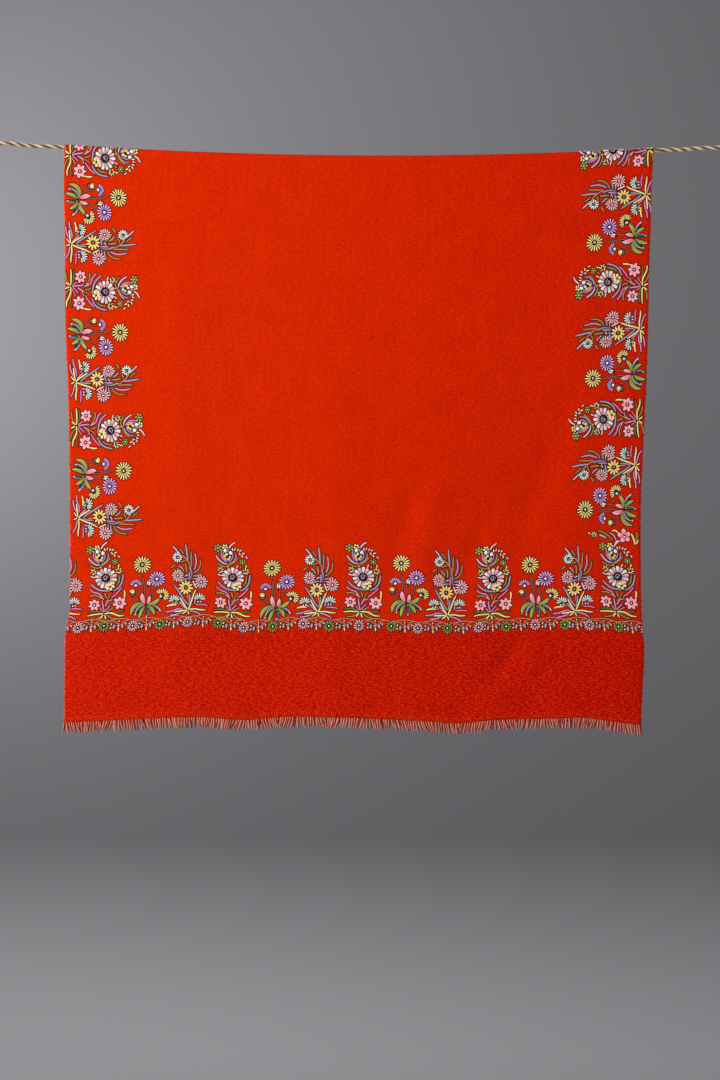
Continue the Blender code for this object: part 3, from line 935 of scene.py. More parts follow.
    stitch(bm, "lightPink", 3.0, (-2.1, 122.8), (1.4, 129), (8.8, 134.4))
    dashes(bm, (
        ("cream", (3.6, 121.4), 100), ("lightPink", (7.9, 122.4), 72), ("cream", (12.6, 121.2), 66),
        ("lightPink", (17.2, 120.2), 35), ("lightPink", (15.4, 114.4), 115), ("cream", (21.8, 115.2), 18),
        ("cream", (19.8, 110.4), 112), ("lightPink", (27, 108.2), 128),
    ), 2.6, 5.4)
    return meshFrom(bm, "star_plant")


def primrosePlant():  # the plant of thin stems over a fan of broad leaves
    bm = newSewing()
    for path in (
        ((-3.4, 31), (-5.0, 52), (-7.0, 84)),
        ((-0.8, 31), (-2.0, 50), (-4.6, 74)),
        ((8.7, 34.7), (12.8, 45), (15.2, 58.4)),
        ((5.4, 34), (6.8, 46), (5.9, 58)),
        ((-10.5, 31.5), (-14.2, 42), (-16.1, 57)),
        ((-15.5, 29), (-20.3, 34.4), (-21.9, 43.5)),
        ((17.2, 26.5), (22.6, 30.6), (26.2, 37)),
    ):
        stitch(bm, "twig", 1.4, *path, shape="stem", sides=2)
    for dye, tip, width, path in (
        ("slate", "paleSlate", 6.2, ((-2.6, 25.6), (-11.4, 19.4), (-16.8, 6.4))),
        ("slate", "paleSlate", 5.8, ((2.8, 23.6), (4.2, 14.4), (3.2, 2.8))),
        ("slate", "paleSlate", 6.2, ((8.4, 25.2), (18, 20), (27.0, 13.2))),
        ("moss", "lightMoss", 8.0, ((-1.5, 26.6), (-13, 27.2), (-21.4, 20), (-23.8, 8.5))),
        ("moss", "lightMoss", 6.6, ((-1.4, 23.6), (-6.4, 14.6), (-8.9, 1.4))),
        ("moss", "lightMoss", 6.6, ((4.6, 24.2), (11.4, 17.6), (16.4, 8))),
        ("moss", "lightMoss", 7.4, ((4.6, 26), (14, 28.4), (23, 36))),
    ):
        stitch(bm, dye, width, *path, shape="leaf", tip=tip, sides=4, lift=0.25 if dye == "moss" else 0)
    for path in (
        ((-5, 23), (-11, 18.2), (-14.6, 11.4)),
        ((3.3, 20), (3.8, 14), (3.4, 8)),
        ((10.6, 23.4), (16.4, 20), (21.6, 16)),
    ):
        stitch(bm, "deepSlate", 1.9, *path, shape="leaf", sides=2, lift=0.75)
    for width, path in (
        (8.6, ((-1.6, 28), (-5.6, 37), (-6.4, 46.6))),
        (7.0, ((2.8, 27), (5.4, 33), (6.4, 41.4))),
    ):
        stitch(bm, "pink", width, *path, shape="leaf", tip="lightPink", lengthwise=True, sides=4, lift=0.35)
    dark = {"eye": "deepSlate", "gap": 0.8}
    daisy(bm, (-6, 96.3), 14.8, 16, "yellow", "paleCream", eyeRadius=3.6, share=0.56, **dark)
    dot(bm, "paleSlate", (-5.8, 96.3), 2.3, tall=0.8, lift=0.8)
    daisy(bm, (18.7, 70.6), 13.6, 15, "purple", "palePurple", eyeRadius=3.2, share=0.58, **dark)
    dot(bm, "white", (18.7, 70.6), 2.2, lift=0.8)
    dot(bm, "mint", (4.9, 63.3), 3.2, tall=1.6)
    stitch(bm, "deepSlate", 1.2, (4.4, 59), (5, 66.5), shape="stem", lift=0.8, steps=4)
    petals(bm, (-16.8, 60.6), 10.0, 8, "purple", "palePurple", inner=3.6, start=2, sweep=176)
    dot(bm, "white", (-16.8, 60), 2.6, tall=0.8)
    dot(bm, "deepSlate", (-22.4, 44.6), 4.4, tall=0.62)
    dot(bm, "gold", (-22.6, 49.8), 5.4, tall=0.66, lift=0.4)
    dot(bm, "paleCream", (-22.0, 48.4), 3.8, tall=0.5, lift=0.7)
    petals(bm, (27.0, 41.6), 11.8, 10, "yellow", "paleCream", inner=4.2, start=-64, sweep=214)
    dot(bm, "deepSlate", (25.6, 40.2), 3.6)
    dot(bm, "paleSlate", (25.2, 40.0), 2.6, lift=0.6)
    return meshFrom(bm, "primrose_plant")


def grassPlant():  # the plant of grasses over crossing blades
    bm = newSewing()
    for lift, dye, width, path in (
        (0, "cream", 3.6, ((-36, 19.4), (-27.6, 21.2), (-18.6, 21))),
        (0, "lilac", 3.4, ((-37, 9.7), (-26, 10.8), (-16.6, 14.4), (-6.6, 14))),
        (0.4, "cream", 3.2, ((-21.8, 9.9), (-10.6, 10.8), (-0.6, 12.2))),
        (0, "lilac", 3.2, ((-28.4, 3.8), (-18.2, 5), (-8, 8.8))),
        (0.4, "cream", 3.4, ((2.8, 13.2), (13.6, 14), (23.2, 12.4), (33, 12.2))),
        (0, "magenta", 3.2, ((15, 20.8), (25, 21.4), (36.2, 19.8))),
        (0, "lilac", 3.2, ((3.8, 10.9), (14, 9.2), (21.4, 6.2), (27.4, 2.4))),
        (0.5, "cream", 2.8, ((0, 11), (-7.6, 5.2))),
        (0.5, "cream", 2.6, ((1.8, 10.8), (4.8, 4.6))),
        (0, "lilac", 3.2, ((-2.4, 14.4), (-8.6, 21), (-14.4, 26.8))),
        (0, "lilac", 3.0, ((13.6, 22), (13.2, 26), (13.4, 30.8))),
        (0, "salmon", 2.2, ((-13.6, 20.6), (-17.4, 24.2), (-20.6, 27.2))),
        (0, "salmon", 2.0, ((1.4, 30), (1.0, 36), (0.6, 40.6))),
        (0.2, "slate", 3.8, ((0.8, 21), (-6.8, 30.6), (-15.2, 43.8), (-23.6, 56))),
        (0.2, "slate", 3.4, ((2.4, 21), (4, 30.4), (4, 39.4))),
        (0.5, "cream", 3.6, ((1.0, 12.8), (-6.6, 23), (-13.2, 34.2))),
        (0.5, "cream", 3.6, ((2.4, 13.4), (6.6, 25), (10, 36.2), (14.6, 46.8))),
        (0, "lightPink", 3.0, ((9.4, 61.6), (13, 53.4), (16, 48.4))),
        (0, "salmon", 2.0, ((8.4, 65.4), (14, 64.6), (19.4, 62.8))),
        (0, "slate", 3.2, ((10, 69.2), (17.6, 70.2), (25.2, 72.6))),
        (0, "slate", 3.4, ((0.8, 65.6), (-6.8, 63.8), (-16.4, 60.4))),
        (0, "slate", 3.8, ((1.2, 95), (-0.8, 110), (-2.8, 124))),
        (0, "olive", 3.4, ((7.2, 84), (6.8, 98), (6.8, 112.4))),
        (0, "lilac", 3.6, ((12, 79.4), (15.6, 92.6), (13.2, 108.8))),
        (0, "olive", 3.6, ((10.4, 74.8), (17.8, 78.8), (22.6, 87.4), (22.8, 98.6))),
        (0, "olive", 3.4, ((-1.4, 75.6), (-2, 84), (-4, 91.4))),
        (0, "slate", 3.2, ((-14.4, 87.2), (-9.8, 83.4), (-5.8, 77.6))),
        (0, "olive", 3.2, ((-18, 82.6), (-12.4, 77.6), (-5.8, 73))),
        (0, "olive", 3.2, ((-28.6, 83.4), (-24.8, 86.4), (-20.4, 89.4))),
        (0, "olive", 3.0, ((-11.6, 92.6), (-7, 94.8), (-2, 95.8))),
        (0, "paleSlate", 3.2, ((-25.2, 120.2), (-18.2, 112.6), (-12.4, 106.2))),
        (0, "olive", 3.0, ((-13.8, 117.2), (-9.6, 110.8), (-5, 106))),
        (0.3, "salmon", 2.2, ((-12.4, 106), (-5, 101.4), (2.4, 93), (5.6, 86))),
        (0, "deepMint", 2.6, ((-4.2, 69), (-0.8, 71.4), (2.2, 71.2))),
    ):
        stitch(bm, dye, width, *path, lift=lift)
    stitch(bm, "deepSlate", 4.2, (5.6, 62), (7.4, 74), (3.4, 87), tip="slate", lift=0.2)
    stitch(bm, "purple", 3.4, (3.0, 62.6), (3.6, 70), (3.4, 77.4), tip="lilac", lift=0.4)
    for centre, tilt in (((-22.6, 27.6), 8), ((20.6, 29.6), -4)):
        petals(bm, centre, 10.8, 7, "deepMint", "white", inner=2.4, start=tilt, sweep=180, share=0.66)
        dot(bm, "darkMoss", centre, 1.9, tall=0.8, lift=0.1)
        leaves = (("white", turned(centre, -120, 4.2), 60), ("white", turned(centre, -58, 4.2), -60))
        dashes(bm, leaves, 1.9, 3.4)
    petals(bm, (-2.8, 50.2), 13.2, 11, "gold", "paleCream", inner=3.2, share=0.68, shape="point")
    dot(bm, "deepSlate", (-2.8, 50.2), 2.9)
    dot(bm, "slate", (-2.5, 50.2), 1.5, lift=0.7)
    daisy(bm, (-16.8, 70.4), 10.4, 13, "rose", "palePink", eye="white", eyeRadius=1.7, gap=1.2)
    daisy(bm, (24, 59.4), 11.4, 13, "rose", "palePink", eye="white", eyeRadius=1.9, gap=1.2)
    petals(bm, (-17.4, 101.6), 8.8, 12, "mint", "white", inner=2.6)
    dot(bm, "deepSlate", (-17.4, 101.6), 1.7)
    dot(bm, "gold", (-15.6, 101), 1.2, lift=0.7)
    return meshFrom(bm, "grass_plant")


def cornerSprig():  # the filler between a side border and the hem border
    bm = newSewing()
    petals(bm, (0, 0), 11.6, 5, "pink", "lightPink", inner=1.8, start=100, share=0.84, lift=0.2)
    dot(bm, "white", (0, -1.6), 1.6, lift=0.5)
    for dye, width, path in (
        ("cream", 3.6, ((11.7, 4.6), (16.3, -3.9), (18.9, -13.7))),
        ("cream", 3.2, ((24.7, -5.2), (20.6, -12.6))),
        ("olive", 3.4, ((22.1, 7.8), (22.4, 0), (20.2, -7.8))),
        ("cream", 3.6, ((-22.1, 6.5), (-16.3, 8.2), (-9.8, 3.3))),
        ("lilac", 3.2, ((-26, 3.9), (-18.2, -0.7), (-14.3, -9.1))),
        ("olive", 3.6, ((-46.8, 5.2), (-36.4, 3.3), (-26, -3.3), (-19.5, -9.1))),
        ("paleSlate", 3.6, ((-44.2, -1.3), (-37.1, -3.3), (-31.2, -5.9))),
        ("lightPink", 3.0, ((-11.7, -7.8), (-16.9, -14.3))),
        ("lightPink", 2.8, ((-64, 1), (-59.4, -1.4))),
    ):
        stitch(bm, dye, width, *path)
    sprig(bm, (-53, -2), 170, 6.2)
    return meshFrom(bm, "corner_sprig")


# The vine below the hem border: daisies at listed places, hanging buds halfway between them
vine = {
    "across": (
        -0.5270, -0.4786, -0.4333, -0.3837, -0.3367, -0.2888, -0.2366, -0.1913, -0.1408, -0.0885, -0.0433,
        0.0082, 0.0642, 0.1102, 0.1612, 0.2155, 0.2630, 0.3134, 0.3645, 0.4072, 0.4577, 0.5050,
    ),
    "along": (
        0.8060, 0.8060, 0.8040, 0.8050, 0.8040, 0.8010, 0.8010, 0.8060, 0.8070, 0.8040, 0.8070, 0.8050,
        0.8040, 0.8060, 0.8030, 0.8030, 0.8050, 0.8030, 0.8040, 0.8055, 0.8025, 0.8040,
    ),
    "backAlong": 0.7975,
}


def vineDaisy(root, tip):
    bm = newSewing()
    daisy(bm, (0, 0), 9.4, 12, root, tip, eye="white", eyeRadius=1.7, gap=1.8, share=0.6)
    return meshFrom(bm, "vine_daisy")


def vineDrops():  # from one daisy to the next, drawn from the middle between them
    bm = newSewing()
    for dye, width, path in (
        ("salmon", 1.4, ((-24, 8.8), (-12, 10.4), (0, 12.4), (12, 11.2), (24, 8.8))),
        ("salmon", 1.2, ((-17.6, 5.4), (-13.6, 8.2), (-7.3, 7.2), (-2.4, 3.6))),
        ("salmon", 1.2, ((5.2, 4.4), (10, 8), (16.6, 10.4))),
        ("twig", 1.4, ((-7.6, 3.4), (-3, 5.4), (2.4, 2.2), (7, 4.4))),
        ("salmon", 2.0, ((0, 5), (0.3, -3.6))),
        ("salmon", 1.8, ((-3, 0.2), (3.4, 0.2))),
    ):
        stitch(bm, dye, width, *path, shape="stem", sides=2)
    stitch(bm, "cream", 2.8, (0.6, -2.8), (0.9, -9.4), shape="bud", sides=2, steps=3)
    for x, y, angle in ((-7.2, -1.6, 84), (7.0, -0.6, 108)):
        dot(bm, "slate", (x, y), 2.7, tall=1.5, lift=0.15, angle=angle)
        dot(bm, "paleSlate", (x + 0.5, y - 0.8), 1.1, lift=0.5)
    dashes(bm, (
        ("cream", (-12.4, 3.2), 80), ("cream", (-0.6, 8.2), 100), ("paleCream", (12.4, 3.4), 82),
        ("cream", (-12.8, -3.0), 60), ("salmon", (9.6, 5.0), 40),
    ), 2.2, 3.8)
    return meshFrom(bm, "vine_drops")


# Where the plants stand: across from the middle line, along from the fold, and lean clockwise in degrees.
# Kinds come in turn: 0 the star plant, 1 the primrose and 2 the grasses. The back's plants go on at an
# even pitch
plantRows = {
    "bottom": {
        "kinds": (2, 0, 1),
        "across": (
            -0.5125, -0.4399, -0.3664, -0.2936, -0.2183, -0.1396, -0.0643, 0.0093, 0.0872, 0.1616, 0.2362,
            0.3131, 0.3859, 0.4547,
        ),
        "along": (
            0.7953, 0.7926, 0.7949, 0.7932, 0.7913, 0.7996, 0.7967, 0.7906, 0.7886, 0.7938, 0.7916, 0.7935,
            0.7950, 0.7869,
        ),
        "lean": (0, -2, 0, 0, 0, 0, 3, 2, -1, 3.5, 2, -2, 5.5, 0),
        "backAlong": 0.787,
    },
    "left": {
        "kinds": (0, 1, 2),
        "across": (-0.4979, -0.4983, -0.5012, -0.4987, -0.4974, -0.4981, -0.4949, -0.4966, -0.4970),
        "along": (0.0187, 0.0933, 0.1671, 0.2418, 0.3190, 0.3953, 0.4733, 0.5514, 0.6252),
        "lean": (-1, 0, 0, 4, 1, -1, 4, 0, 4),
        "backPitch": 0.0738,
    },
    "right": {
        "kinds": (0, 2, 1),
        "across": (0.4989, 0.5030, 0.4965, 0.4977, 0.4981, 0.4986, 0.4961, 0.4997, 0.4942),
        "along": (0.0062, 0.0796, 0.1529, 0.2305, 0.3098, 0.3818, 0.4604, 0.5344, 0.6058),
        "lean": (0, 4, 0, 4, -4, -2, -4, -1, 2),
        "backPitch": 0.0738,
    },
}
# The corner fillers: across, along, facing, lean
cornerPlaces = {
    "right": [(0.4710, 0.6501, 0, 0), (0.4685, -0.634, 180, 0)],
    "left": [(-0.4685, -0.634, 180, 0)],
}
# A plant's own proportions against its drawing, and whether it turns as a whole or bends like grass
plantSizes = ((1.04, 0.955, True), (1.045, 0.955, True), (1.0, 1.0, False))


def placeCopies(unit, places, wider=1.0, lower=1.0, stiff=True):  # each place: across, along, facing, lean
    mesh = manyCopies(unit, len(places))
    points = readPoints(mesh).reshape(len(places), -1, 3)
    middle = sewing["middle"] / 1000 * lower
    for copy, (across, along, facing, lean) in zip(points, places):
        x, y = copy[:, 0] * wider, copy[:, 1] * lower - middle
        angle = -math.radians(lean)
        if stiff:
            x, y = x * math.cos(angle) - y * math.sin(angle), x * math.sin(angle) + y * math.cos(angle)
        else:
            x = x - y * math.tan(angle)
        y = y + middle
        angle = math.radians(facing)
        copy[:, 0] = across + x * math.cos(angle) - y * math.sin(angle)
        copy[:, 1] = -along + x * math.sin(angle) + y * math.cos(angle)
    writePoints(mesh, points.reshape(-1, 3))
    return mesh


def trimAndDrape(mesh, name, finish, overFold=False):
    bm = bmesh.new()
    bm.from_mesh(mesh)
    bpy.data.meshes.remove(mesh)
    edge = halfWidth - sewing["trim"]
    for side in (-1, 1):
        cutOff(bm, (side * edge, 0, 0), (side, 0, 0))
    if overFold:  # more points where the sewing bends over the line
        for k in range(-5, 6):
            near = [f for f in bm.faces if abs(f.calc_center_median().y) < sewing["foldZone"]]
            edges = {e for f in near for e in f.edges}
            points = {v for f in near for v in f.verts}
            bmesh.ops.bisect_plane(
                bm, geom=list(points) + list(edges) + near, dist=0.0000001,
                plane_co=(0, k * sewing["foldStep"], 0), plane_no=(0, 1, 0),
            )
    draped = meshFrom(bm, name)
    writePoints(draped, drape(readPoints(draped)))
    return showPiece(name, draped, finish)


def backLean():
    return hand.uniform(-sewing["backLean"], sewing["backLean"])


def makeSewing(finish):
    units = (starPlant(), primrosePlant(), grassPlant())
    corner = cornerSprig()
    areas = {name: [[], [], []] for name in ("hem_front", "hem_back", "left", "right")}
    row = plantRows["bottom"]
    for k, (across, along, lean) in enumerate(zip(row["across"], row["along"], row["lean"])):
        kind = row["kinds"][k % 3]
        areas["hem_front"][kind].append((across, along, 0, lean))
        areas["hem_back"][kind].append((-across, -row["backAlong"], 180, backLean()))
    for name, facing in (("left", -90), ("right", 90)):
        row = plantRows[name]
        for k, (across, along, lean) in enumerate(zip(row["across"], row["along"], row["lean"])):
            areas[name][row["kinds"][k % 3]].append((across, along, facing, lean))
        for k in range(1, 9):
            along = row["along"][0] - row["backPitch"] * k
            areas[name][row["kinds"][-k % 3]].append((row["across"][0], along, facing, backLean()))
    pieces = []
    for name, kinds in areas.items():
        meshes = []
        for unit, places, sizes in zip(units, kinds, plantSizes):
            if places:
                meshes.append(placeCopies(unit, places, *sizes))
        if name in cornerPlaces:
            meshes.append(placeCopies(corner, cornerPlaces[name]))
        joined = joinMeshes(meshes, name)
        pieces.append(trimAndDrape(joined, "flowers_" + name, finish, overFold=name in ("left", "right")))
    for name, side, facing in (("vine_front", 1, 0), ("vine_back", -1, 180)):
        spots = []
        for across, along in zip(vine["across"], vine["along"]):
            spots.append((across * side, along if side == 1 else -vine["backAlong"], facing, 0))
        between = [((a[0] + b[0]) / 2, (a[1] + b[1]) / 2, facing, 0) for a, b in zip(spots, spots[1:])]
        vineUnits = (vineDaisy("moss", "lightMoss"), vineDaisy("rose", "palePink"), vineDrops())
        vinePlaces = (spots[::2], spots[1::2], between)
        meshes = [placeCopies(unit, places) for unit, places in zip(vineUnits, vinePlaces)]
        pieces.append(trimAndDrape(joinMeshes(meshes, name), name, finish))
    return pieces


# Fringe: the warp's loose ends, in small crooked locks
fringe = {
    "locks": 235,
    "yarnsPerLock": 2,
    "length": 0.0156,
    "rootInside": 0.0024,
    "yarnRadius": 0.00106,
    "lean": 0.28,
    "curl": 0.0011,
    "sides": 5,
    "steps": 6,
    "thinner": 0.45,  # how much of its thickness a yarn loses by its tip
    "secondThicker": 0.35,  # the second yarn of each lock lies deeper and thicker, painted dark as shade
    "paintedHighlightTone": 0.92,
    "paintedShadowTone": 0.03,
    # light: painted highlight on the yarns; deep: painted shade on them
    "light": (255, 160, 132),
    "deep": (128, 2, 2),
}


def makeFringe(name, node, hem, side, finish, seed):
    chance = np.random.default_rng(seed)
    count = fringe["locks"] * fringe["yarnsPerLock"]
    unit = wrappedGrid(
        "yarn", fringe["sides"], fringe["steps"],
        lambda u, v: np.column_stack((np.cos(2 * np.pi * u), v, np.sin(2 * np.pi * u))),
        lambda u, v: np.column_stack((u * 0.0026, v * fringe["length"], np.ones_like(u))),
    )
    mesh = manyCopies(unit, count)
    points = readPoints(mesh).reshape(count, -1, 3)
    lock = np.repeat(np.arange(fringe["locks"]), fringe["yarnsPerLock"])
    pitch = shawl["width"] / fringe["locks"]

    def perLock(low, high):
        return chance.uniform(low, high, fringe["locks"])[lock]

    def perYarn(low, high):
        return chance.uniform(low, high, count)

    sway = np.sin(0.19 * lock + 2.1 * np.sin(0.067 * lock)) + 0.5 * np.sin(0.61 * lock) + perLock(-0.4, 0.4)
    middle = (lock + 0.5) * pitch - halfWidth + perLock(-0.25, 0.25) * pitch
    second = np.arange(count) % fringe["yarnsPerLock"]
    root = middle + (0.5 * second - 0.25 + perYarn(-0.14, 0.14)) * pitch
    swept = sway * fringe["lean"] * fringe["length"]
    tip = middle + (0.4 * second - 0.2 + perYarn(-0.26, 0.26)) * pitch + swept
    length = fringe["length"] * perLock(0.90, 1.04) * perYarn(0.86, 1.04)
    deep = -0.0005 * second + perLock(-0.0008, 0.0016) + perYarn(-0.0006, 0.0010)
    curl = perLock(-1, 1) * fringe["curl"] + perYarn(-0.6, 0.6) * fringe["curl"]
    phase = perYarn(0, 2 * np.pi)
    paintedYarnLight = np.where(second, fringe["paintedShadowTone"], fringe["paintedHighlightTone"])
    shade = paintedYarnLight + perLock(-0.22, 0.12) + perYarn(-0.04, 0.08)
    v = points[:, :, 1]
    taper = (1 + fringe["secondThicker"] * second[:, None]) * (1 - fringe["thinner"] * v**3)
    wave = curl[:, None] * np.sin(3.4 * v + phase[:, None]) * v
    swing = (tip - root)[:, None] * v**1.3
    flatX = root[:, None] + swing + wave + points[:, :, 0] * fringe["yarnRadius"] * taper
    flatAlong = hem - fringe["rootInside"] + v * (length[:, None] + fringe["rootInside"])
    flatZ = 0.0006 + deep[:, None] * v + 0.6 * wave + points[:, :, 2] * fringe["yarnRadius"] * taper
    flat = np.stack((flatX, -side * flatAlong, flatZ), axis=2).reshape(-1, 3)
    writePoints(mesh, drape(flat))
    # painted highlight on the light yarns and painted shade on the deep ones, a little darker towards the
    # tips
    setThreadTone(mesh, np.clip(shade[:, None] * (1.05 - 0.2 * v), 0, 1))
    flipOutwards(mesh)
    piece = showPiece(name, mesh, finish)
    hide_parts(node)
    return piece


# Fuzz: the short fibres that stand off the selvedges and the fold
fuzz = {
    "perMetre": 900,
    "length": (0.0007, 0.0026),
    "radius": 0.00007,
    "foldPerMetre": 1300,
    "foldBand": 0.007,
    "colour": (232, 140, 125),
}


def makeFuzz(name, finish, seed):
    chance = np.random.default_rng(seed)
    total = shawl["frontLength"] + shawl["backLength"]
    perSide = int(fuzz["perMetre"] * total)
    onFold = int(fuzz["foldPerMetre"] * shawl["width"])
    count = perSide * 2 + onFold
    mesh = manyCopies(hairUnit("hair", 2, 0.002), count)
    points = readPoints(mesh).reshape(count, -1, 3)
    side = np.concatenate((-np.ones(perSide), np.ones(perSide), np.zeros(onFold)))
    edge = side != 0
    rootX = np.where(edge, side * (halfWidth - 0.0004), chance.uniform(-halfWidth, halfWidth, count))
    alongEdge = chance.uniform(-shawl["backLength"], shawl["frontLength"], count)
    rootAlong = np.where(edge, alongEdge, chance.uniform(-fuzz["foldBand"], fuzz["foldBand"], count))
    rootZ = np.where(edge, chance.uniform(-0.0003, 0.0003, count), shawl["thickness"] / 2 - 0.0001)
    sway = chance.uniform(-0.9, 0.9, count)
    rise = chance.uniform(-0.5, 0.5, count)
    headX = np.where(edge, side, sway)
    headAlong = np.where(edge, sway, rise)
    headZ = np.where(edge, rise, 1.0)
    head = normalised(np.column_stack((headX, headAlong, headZ)))
    length = chance.uniform(*fuzz["length"], count)
    curl = chance.uniform(-0.5, 0.5, (count, 3))
    v = points[:, :, 1][:, :, None]
    core = np.column_stack((rootX, rootAlong, rootZ))[:, None, :]
    length = length[:, None, None]
    core = core + head[:, None, :] * v * length + curl[:, None, :] * v**2 * length
    one = normalised(np.cross(head, np.array((0.31, 0.52, 0.79))))
    two = np.cross(head, one)
    core = core + (one[:, None, :] * points[:, :, 0:1] + two[:, None, :] * points[:, :, 2:3]) * fuzz["radius"]
    flat = core.reshape(-1, 3)
    flat[:, 1] *= -1
    writePoints(mesh, drape(flat))
    setThreadTone(mesh, chance.uniform(0.7, 1.3, count)[:, None])
    flipOutwards(mesh)
    return showPiece(name, mesh, finish)


# Rope: two hairy strands laid round each other
rope = {
    "strandAcross": 0.0018,  # half a strand's thickness towards the rope's middle
    "strandAlong": 0.0024,  # and round the rope
    "layRadius": 0.0017,
    "uneven": 0.16,  # how much a strand swells and thins along its length
    "layPitch": 0.0395,
    "ringsPerTurn": 18,
    "sides": 12,
    "fibres": 1100,
    "tailFibres": 160,
    "fibreRoot": 0.0031,
    "fibreLength": (0.003, 0.009),
    "fibreRadius": 0.00012,
}


def framesAlong(path):  # a heading and two crosswise directions at each point, without twist
    heading = normalised(np.gradient(path, axis=0))
    one = np.empty_like(path)
    start = np.cross(heading[0], (0, 0, 1.0))
    if np.linalg.norm(start) < 0.1:
        start = np.cross(heading[0], (1.0, 0, 0))
    previous = start
    for k, ahead in enumerate(heading):
        previous = previous - ahead * np.dot(previous, ahead)
        previous = previous / np.linalg.norm(previous)
        one[k] = previous
    two = np.cross(heading, one)
    return heading, one, two


def strandMesh(path, turnAt, spread=0.0):
    # One strand laid round a path. spread opens it towards the end, where a tail frays
    run = runAlong(path)
    one, two = framesAlong(path)[1:]
    rings = len(path) - 1

    def place(u, v):
        k = np.clip(np.round(v * rings).astype(int), 0, rings)
        loose = 0.4 * np.sin(41 * run[k]) + 0.3 * np.sin(73 * run[k] + 1)
        angle = 2 * np.pi * run[k] / rope["layPitch"] + turnAt + loose
        radial = one[k] * np.cos(angle)[:, None] + two[k] * np.sin(angle)[:, None]
        around = -one[k] * np.sin(angle)[:, None] + two[k] * np.cos(angle)[:, None]
        section = 2 * np.pi * u
        atEnd = np.where((k == 0) | (k == rings), 0.0, 1.0)
        opened = 1 + spread * v**4
        swell = np.sin(140 * run[k] + 3 * turnAt) + np.sin(233 * run[k] + turnAt) + 0.8 * np.sin(391 * run[k])
        full = atEnd * (1 + rope["uneven"] * swell / 1.8)
        middle = path[k] + radial * rope["layRadius"] * opened[:, None]
        return (
            middle
            + radial * (rope["strandAcross"] * np.cos(section) * full)[:, None]
            + around * (rope["strandAlong"] * np.sin(section) * full)[:, None]
        )

    def thread(u, v):
        k = np.clip(np.round(v * rings).astype(int), 0, rings)
        # outer: how far a point faces out from the rope's middle, which sets the painted shade in the grooves
        outer = 0.5 + 0.5 * np.cos(2 * np.pi * u)
        return np.column_stack((u * 0.0150, run[k], outer**1.5))

    return wrappedGrid("strand", rope["sides"], rings, place, thread)


def ropePath(low, high, count):
    x = np.linspace(low, high, count)
    wobble = 0.0004 * (np.sin(61 * x + 0.6) + np.sin(97 * x + 2.0))  # hand-laid rope never lies quite even
    return np.column_stack((x, np.zeros_like(x), lineHeight(x) + wobble))


def makeFibres(name, path, count, finish, seed, reach=0.0022):
    chance = np.random.default_rng(seed)
    mesh = manyCopies(hairUnit("fibre", 4, 0.004), count)
    points = readPoints(mesh).reshape(count, -1, 3)
    heading, one, two = framesAlong(path)
    k = chance.integers(1, len(path) - 1, count)
    angle = chance.uniform(0, 2 * np.pi, count)
    out = one[k] * np.cos(angle)[:, None] + two[k] * np.sin(angle)[:, None]
    around = -one[k] * np.sin(angle)[:, None] + two[k] * np.cos(angle)[:, None]
    root = path[k] + out * rope["fibreRoot"]
    lean = chance.uniform(-1, 1, count)[:, None]
    along = heading[k] * np.sign(lean) * chance.uniform(0.6, 1.0, count)[:, None]
    length = chance.uniform(*rope["fibreLength"], count)[:, None, None]
    v = points[:, :, 1:2]
    away = out[:, None, :] * np.minimum(v * length * 0.7, reach) + along[:, None, :] * v * length
    bend = around[:, None, :] * (lean[:, None, :] * v**2 * length * 0.5)
    across = one[k][:, None, :] * points[:, :, 0:1] + two[k][:, None, :] * points[:, :, 2:3]
    core = root[:, None, :] + away + bend + across * rope["fibreRadius"]
    writePoints(mesh, core.reshape(-1, 3))
    setThreadTone(mesh, chance.uniform(0.5, 1.1, count)[:, None])
    flipOutwards(mesh)
    return showPiece(name, mesh, finish)


knot = {
    "start": 0.0028,  # outwards along the line, from the middle of the eye
    "wrapPitch": 0.0078,
    "wraps": 3,
    "wrapRadius": 0.0050,
    "tail": 0.0150,
    "ringsPerWrap": 26,
    "coreRings": 34,
    "tailFrom": 20,  # the ring of the core where its loose end begins
    "fray": 0.5,
}


def alongLine(side):  # the line's direction and middle at an eye, pointing outwards
    x = side * line["eyeAt"]
    outward = np.array((side, 0, side * lineSlope(x)), float)
    outward /= np.linalg.norm(outward)
    return np.array((x, 0, float(lineHeight(x)))), outward


def makeKnot(name, node, side, finish):
    # A barrel of wraps drawn tight against the eye, with a short frayed tail
    middle, outward = alongLine(side)
    across = np.array((0, 1.0, 0))
    up = np.cross(outward, across)
    barrel = knot["wraps"] * knot["wrapPitch"]
    turns = np.linspace(0, 1, knot["wraps"] * knot["ringsPerWrap"])
    angle = 2 * np.pi * turns * (knot["wraps"] - 0.12)
    squeeze = knot["wrapRadius"] * np.sin(np.pi * np.clip(turns * 1.02 - 0.01, 0.02, 0.98)) ** 0.25
    reach = knot["start"] + knot["wrapPitch"] / 2 + (barrel - knot["wrapPitch"]) * turns
    wraps = middle + np.outer(reach, outward)
    wraps = wraps + np.outer(np.cos(angle) * squeeze, across) + np.outer(np.sin(angle) * squeeze, up)
    end = knot["start"] + barrel + knot["tail"]
    core = middle + np.outer(np.linspace(knot["start"] + 0.001, end, knot["coreRings"]), outward)
    meshes = []
    for turnAt in (0, math.pi):
        meshes.append(strandMesh(wraps, turnAt))
        meshes.append(strandMesh(core, turnAt, spread=knot["fray"]))
    piece = showPiece(name, joinMeshes(meshes, name), finish)
    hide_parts(node)
    return piece, core


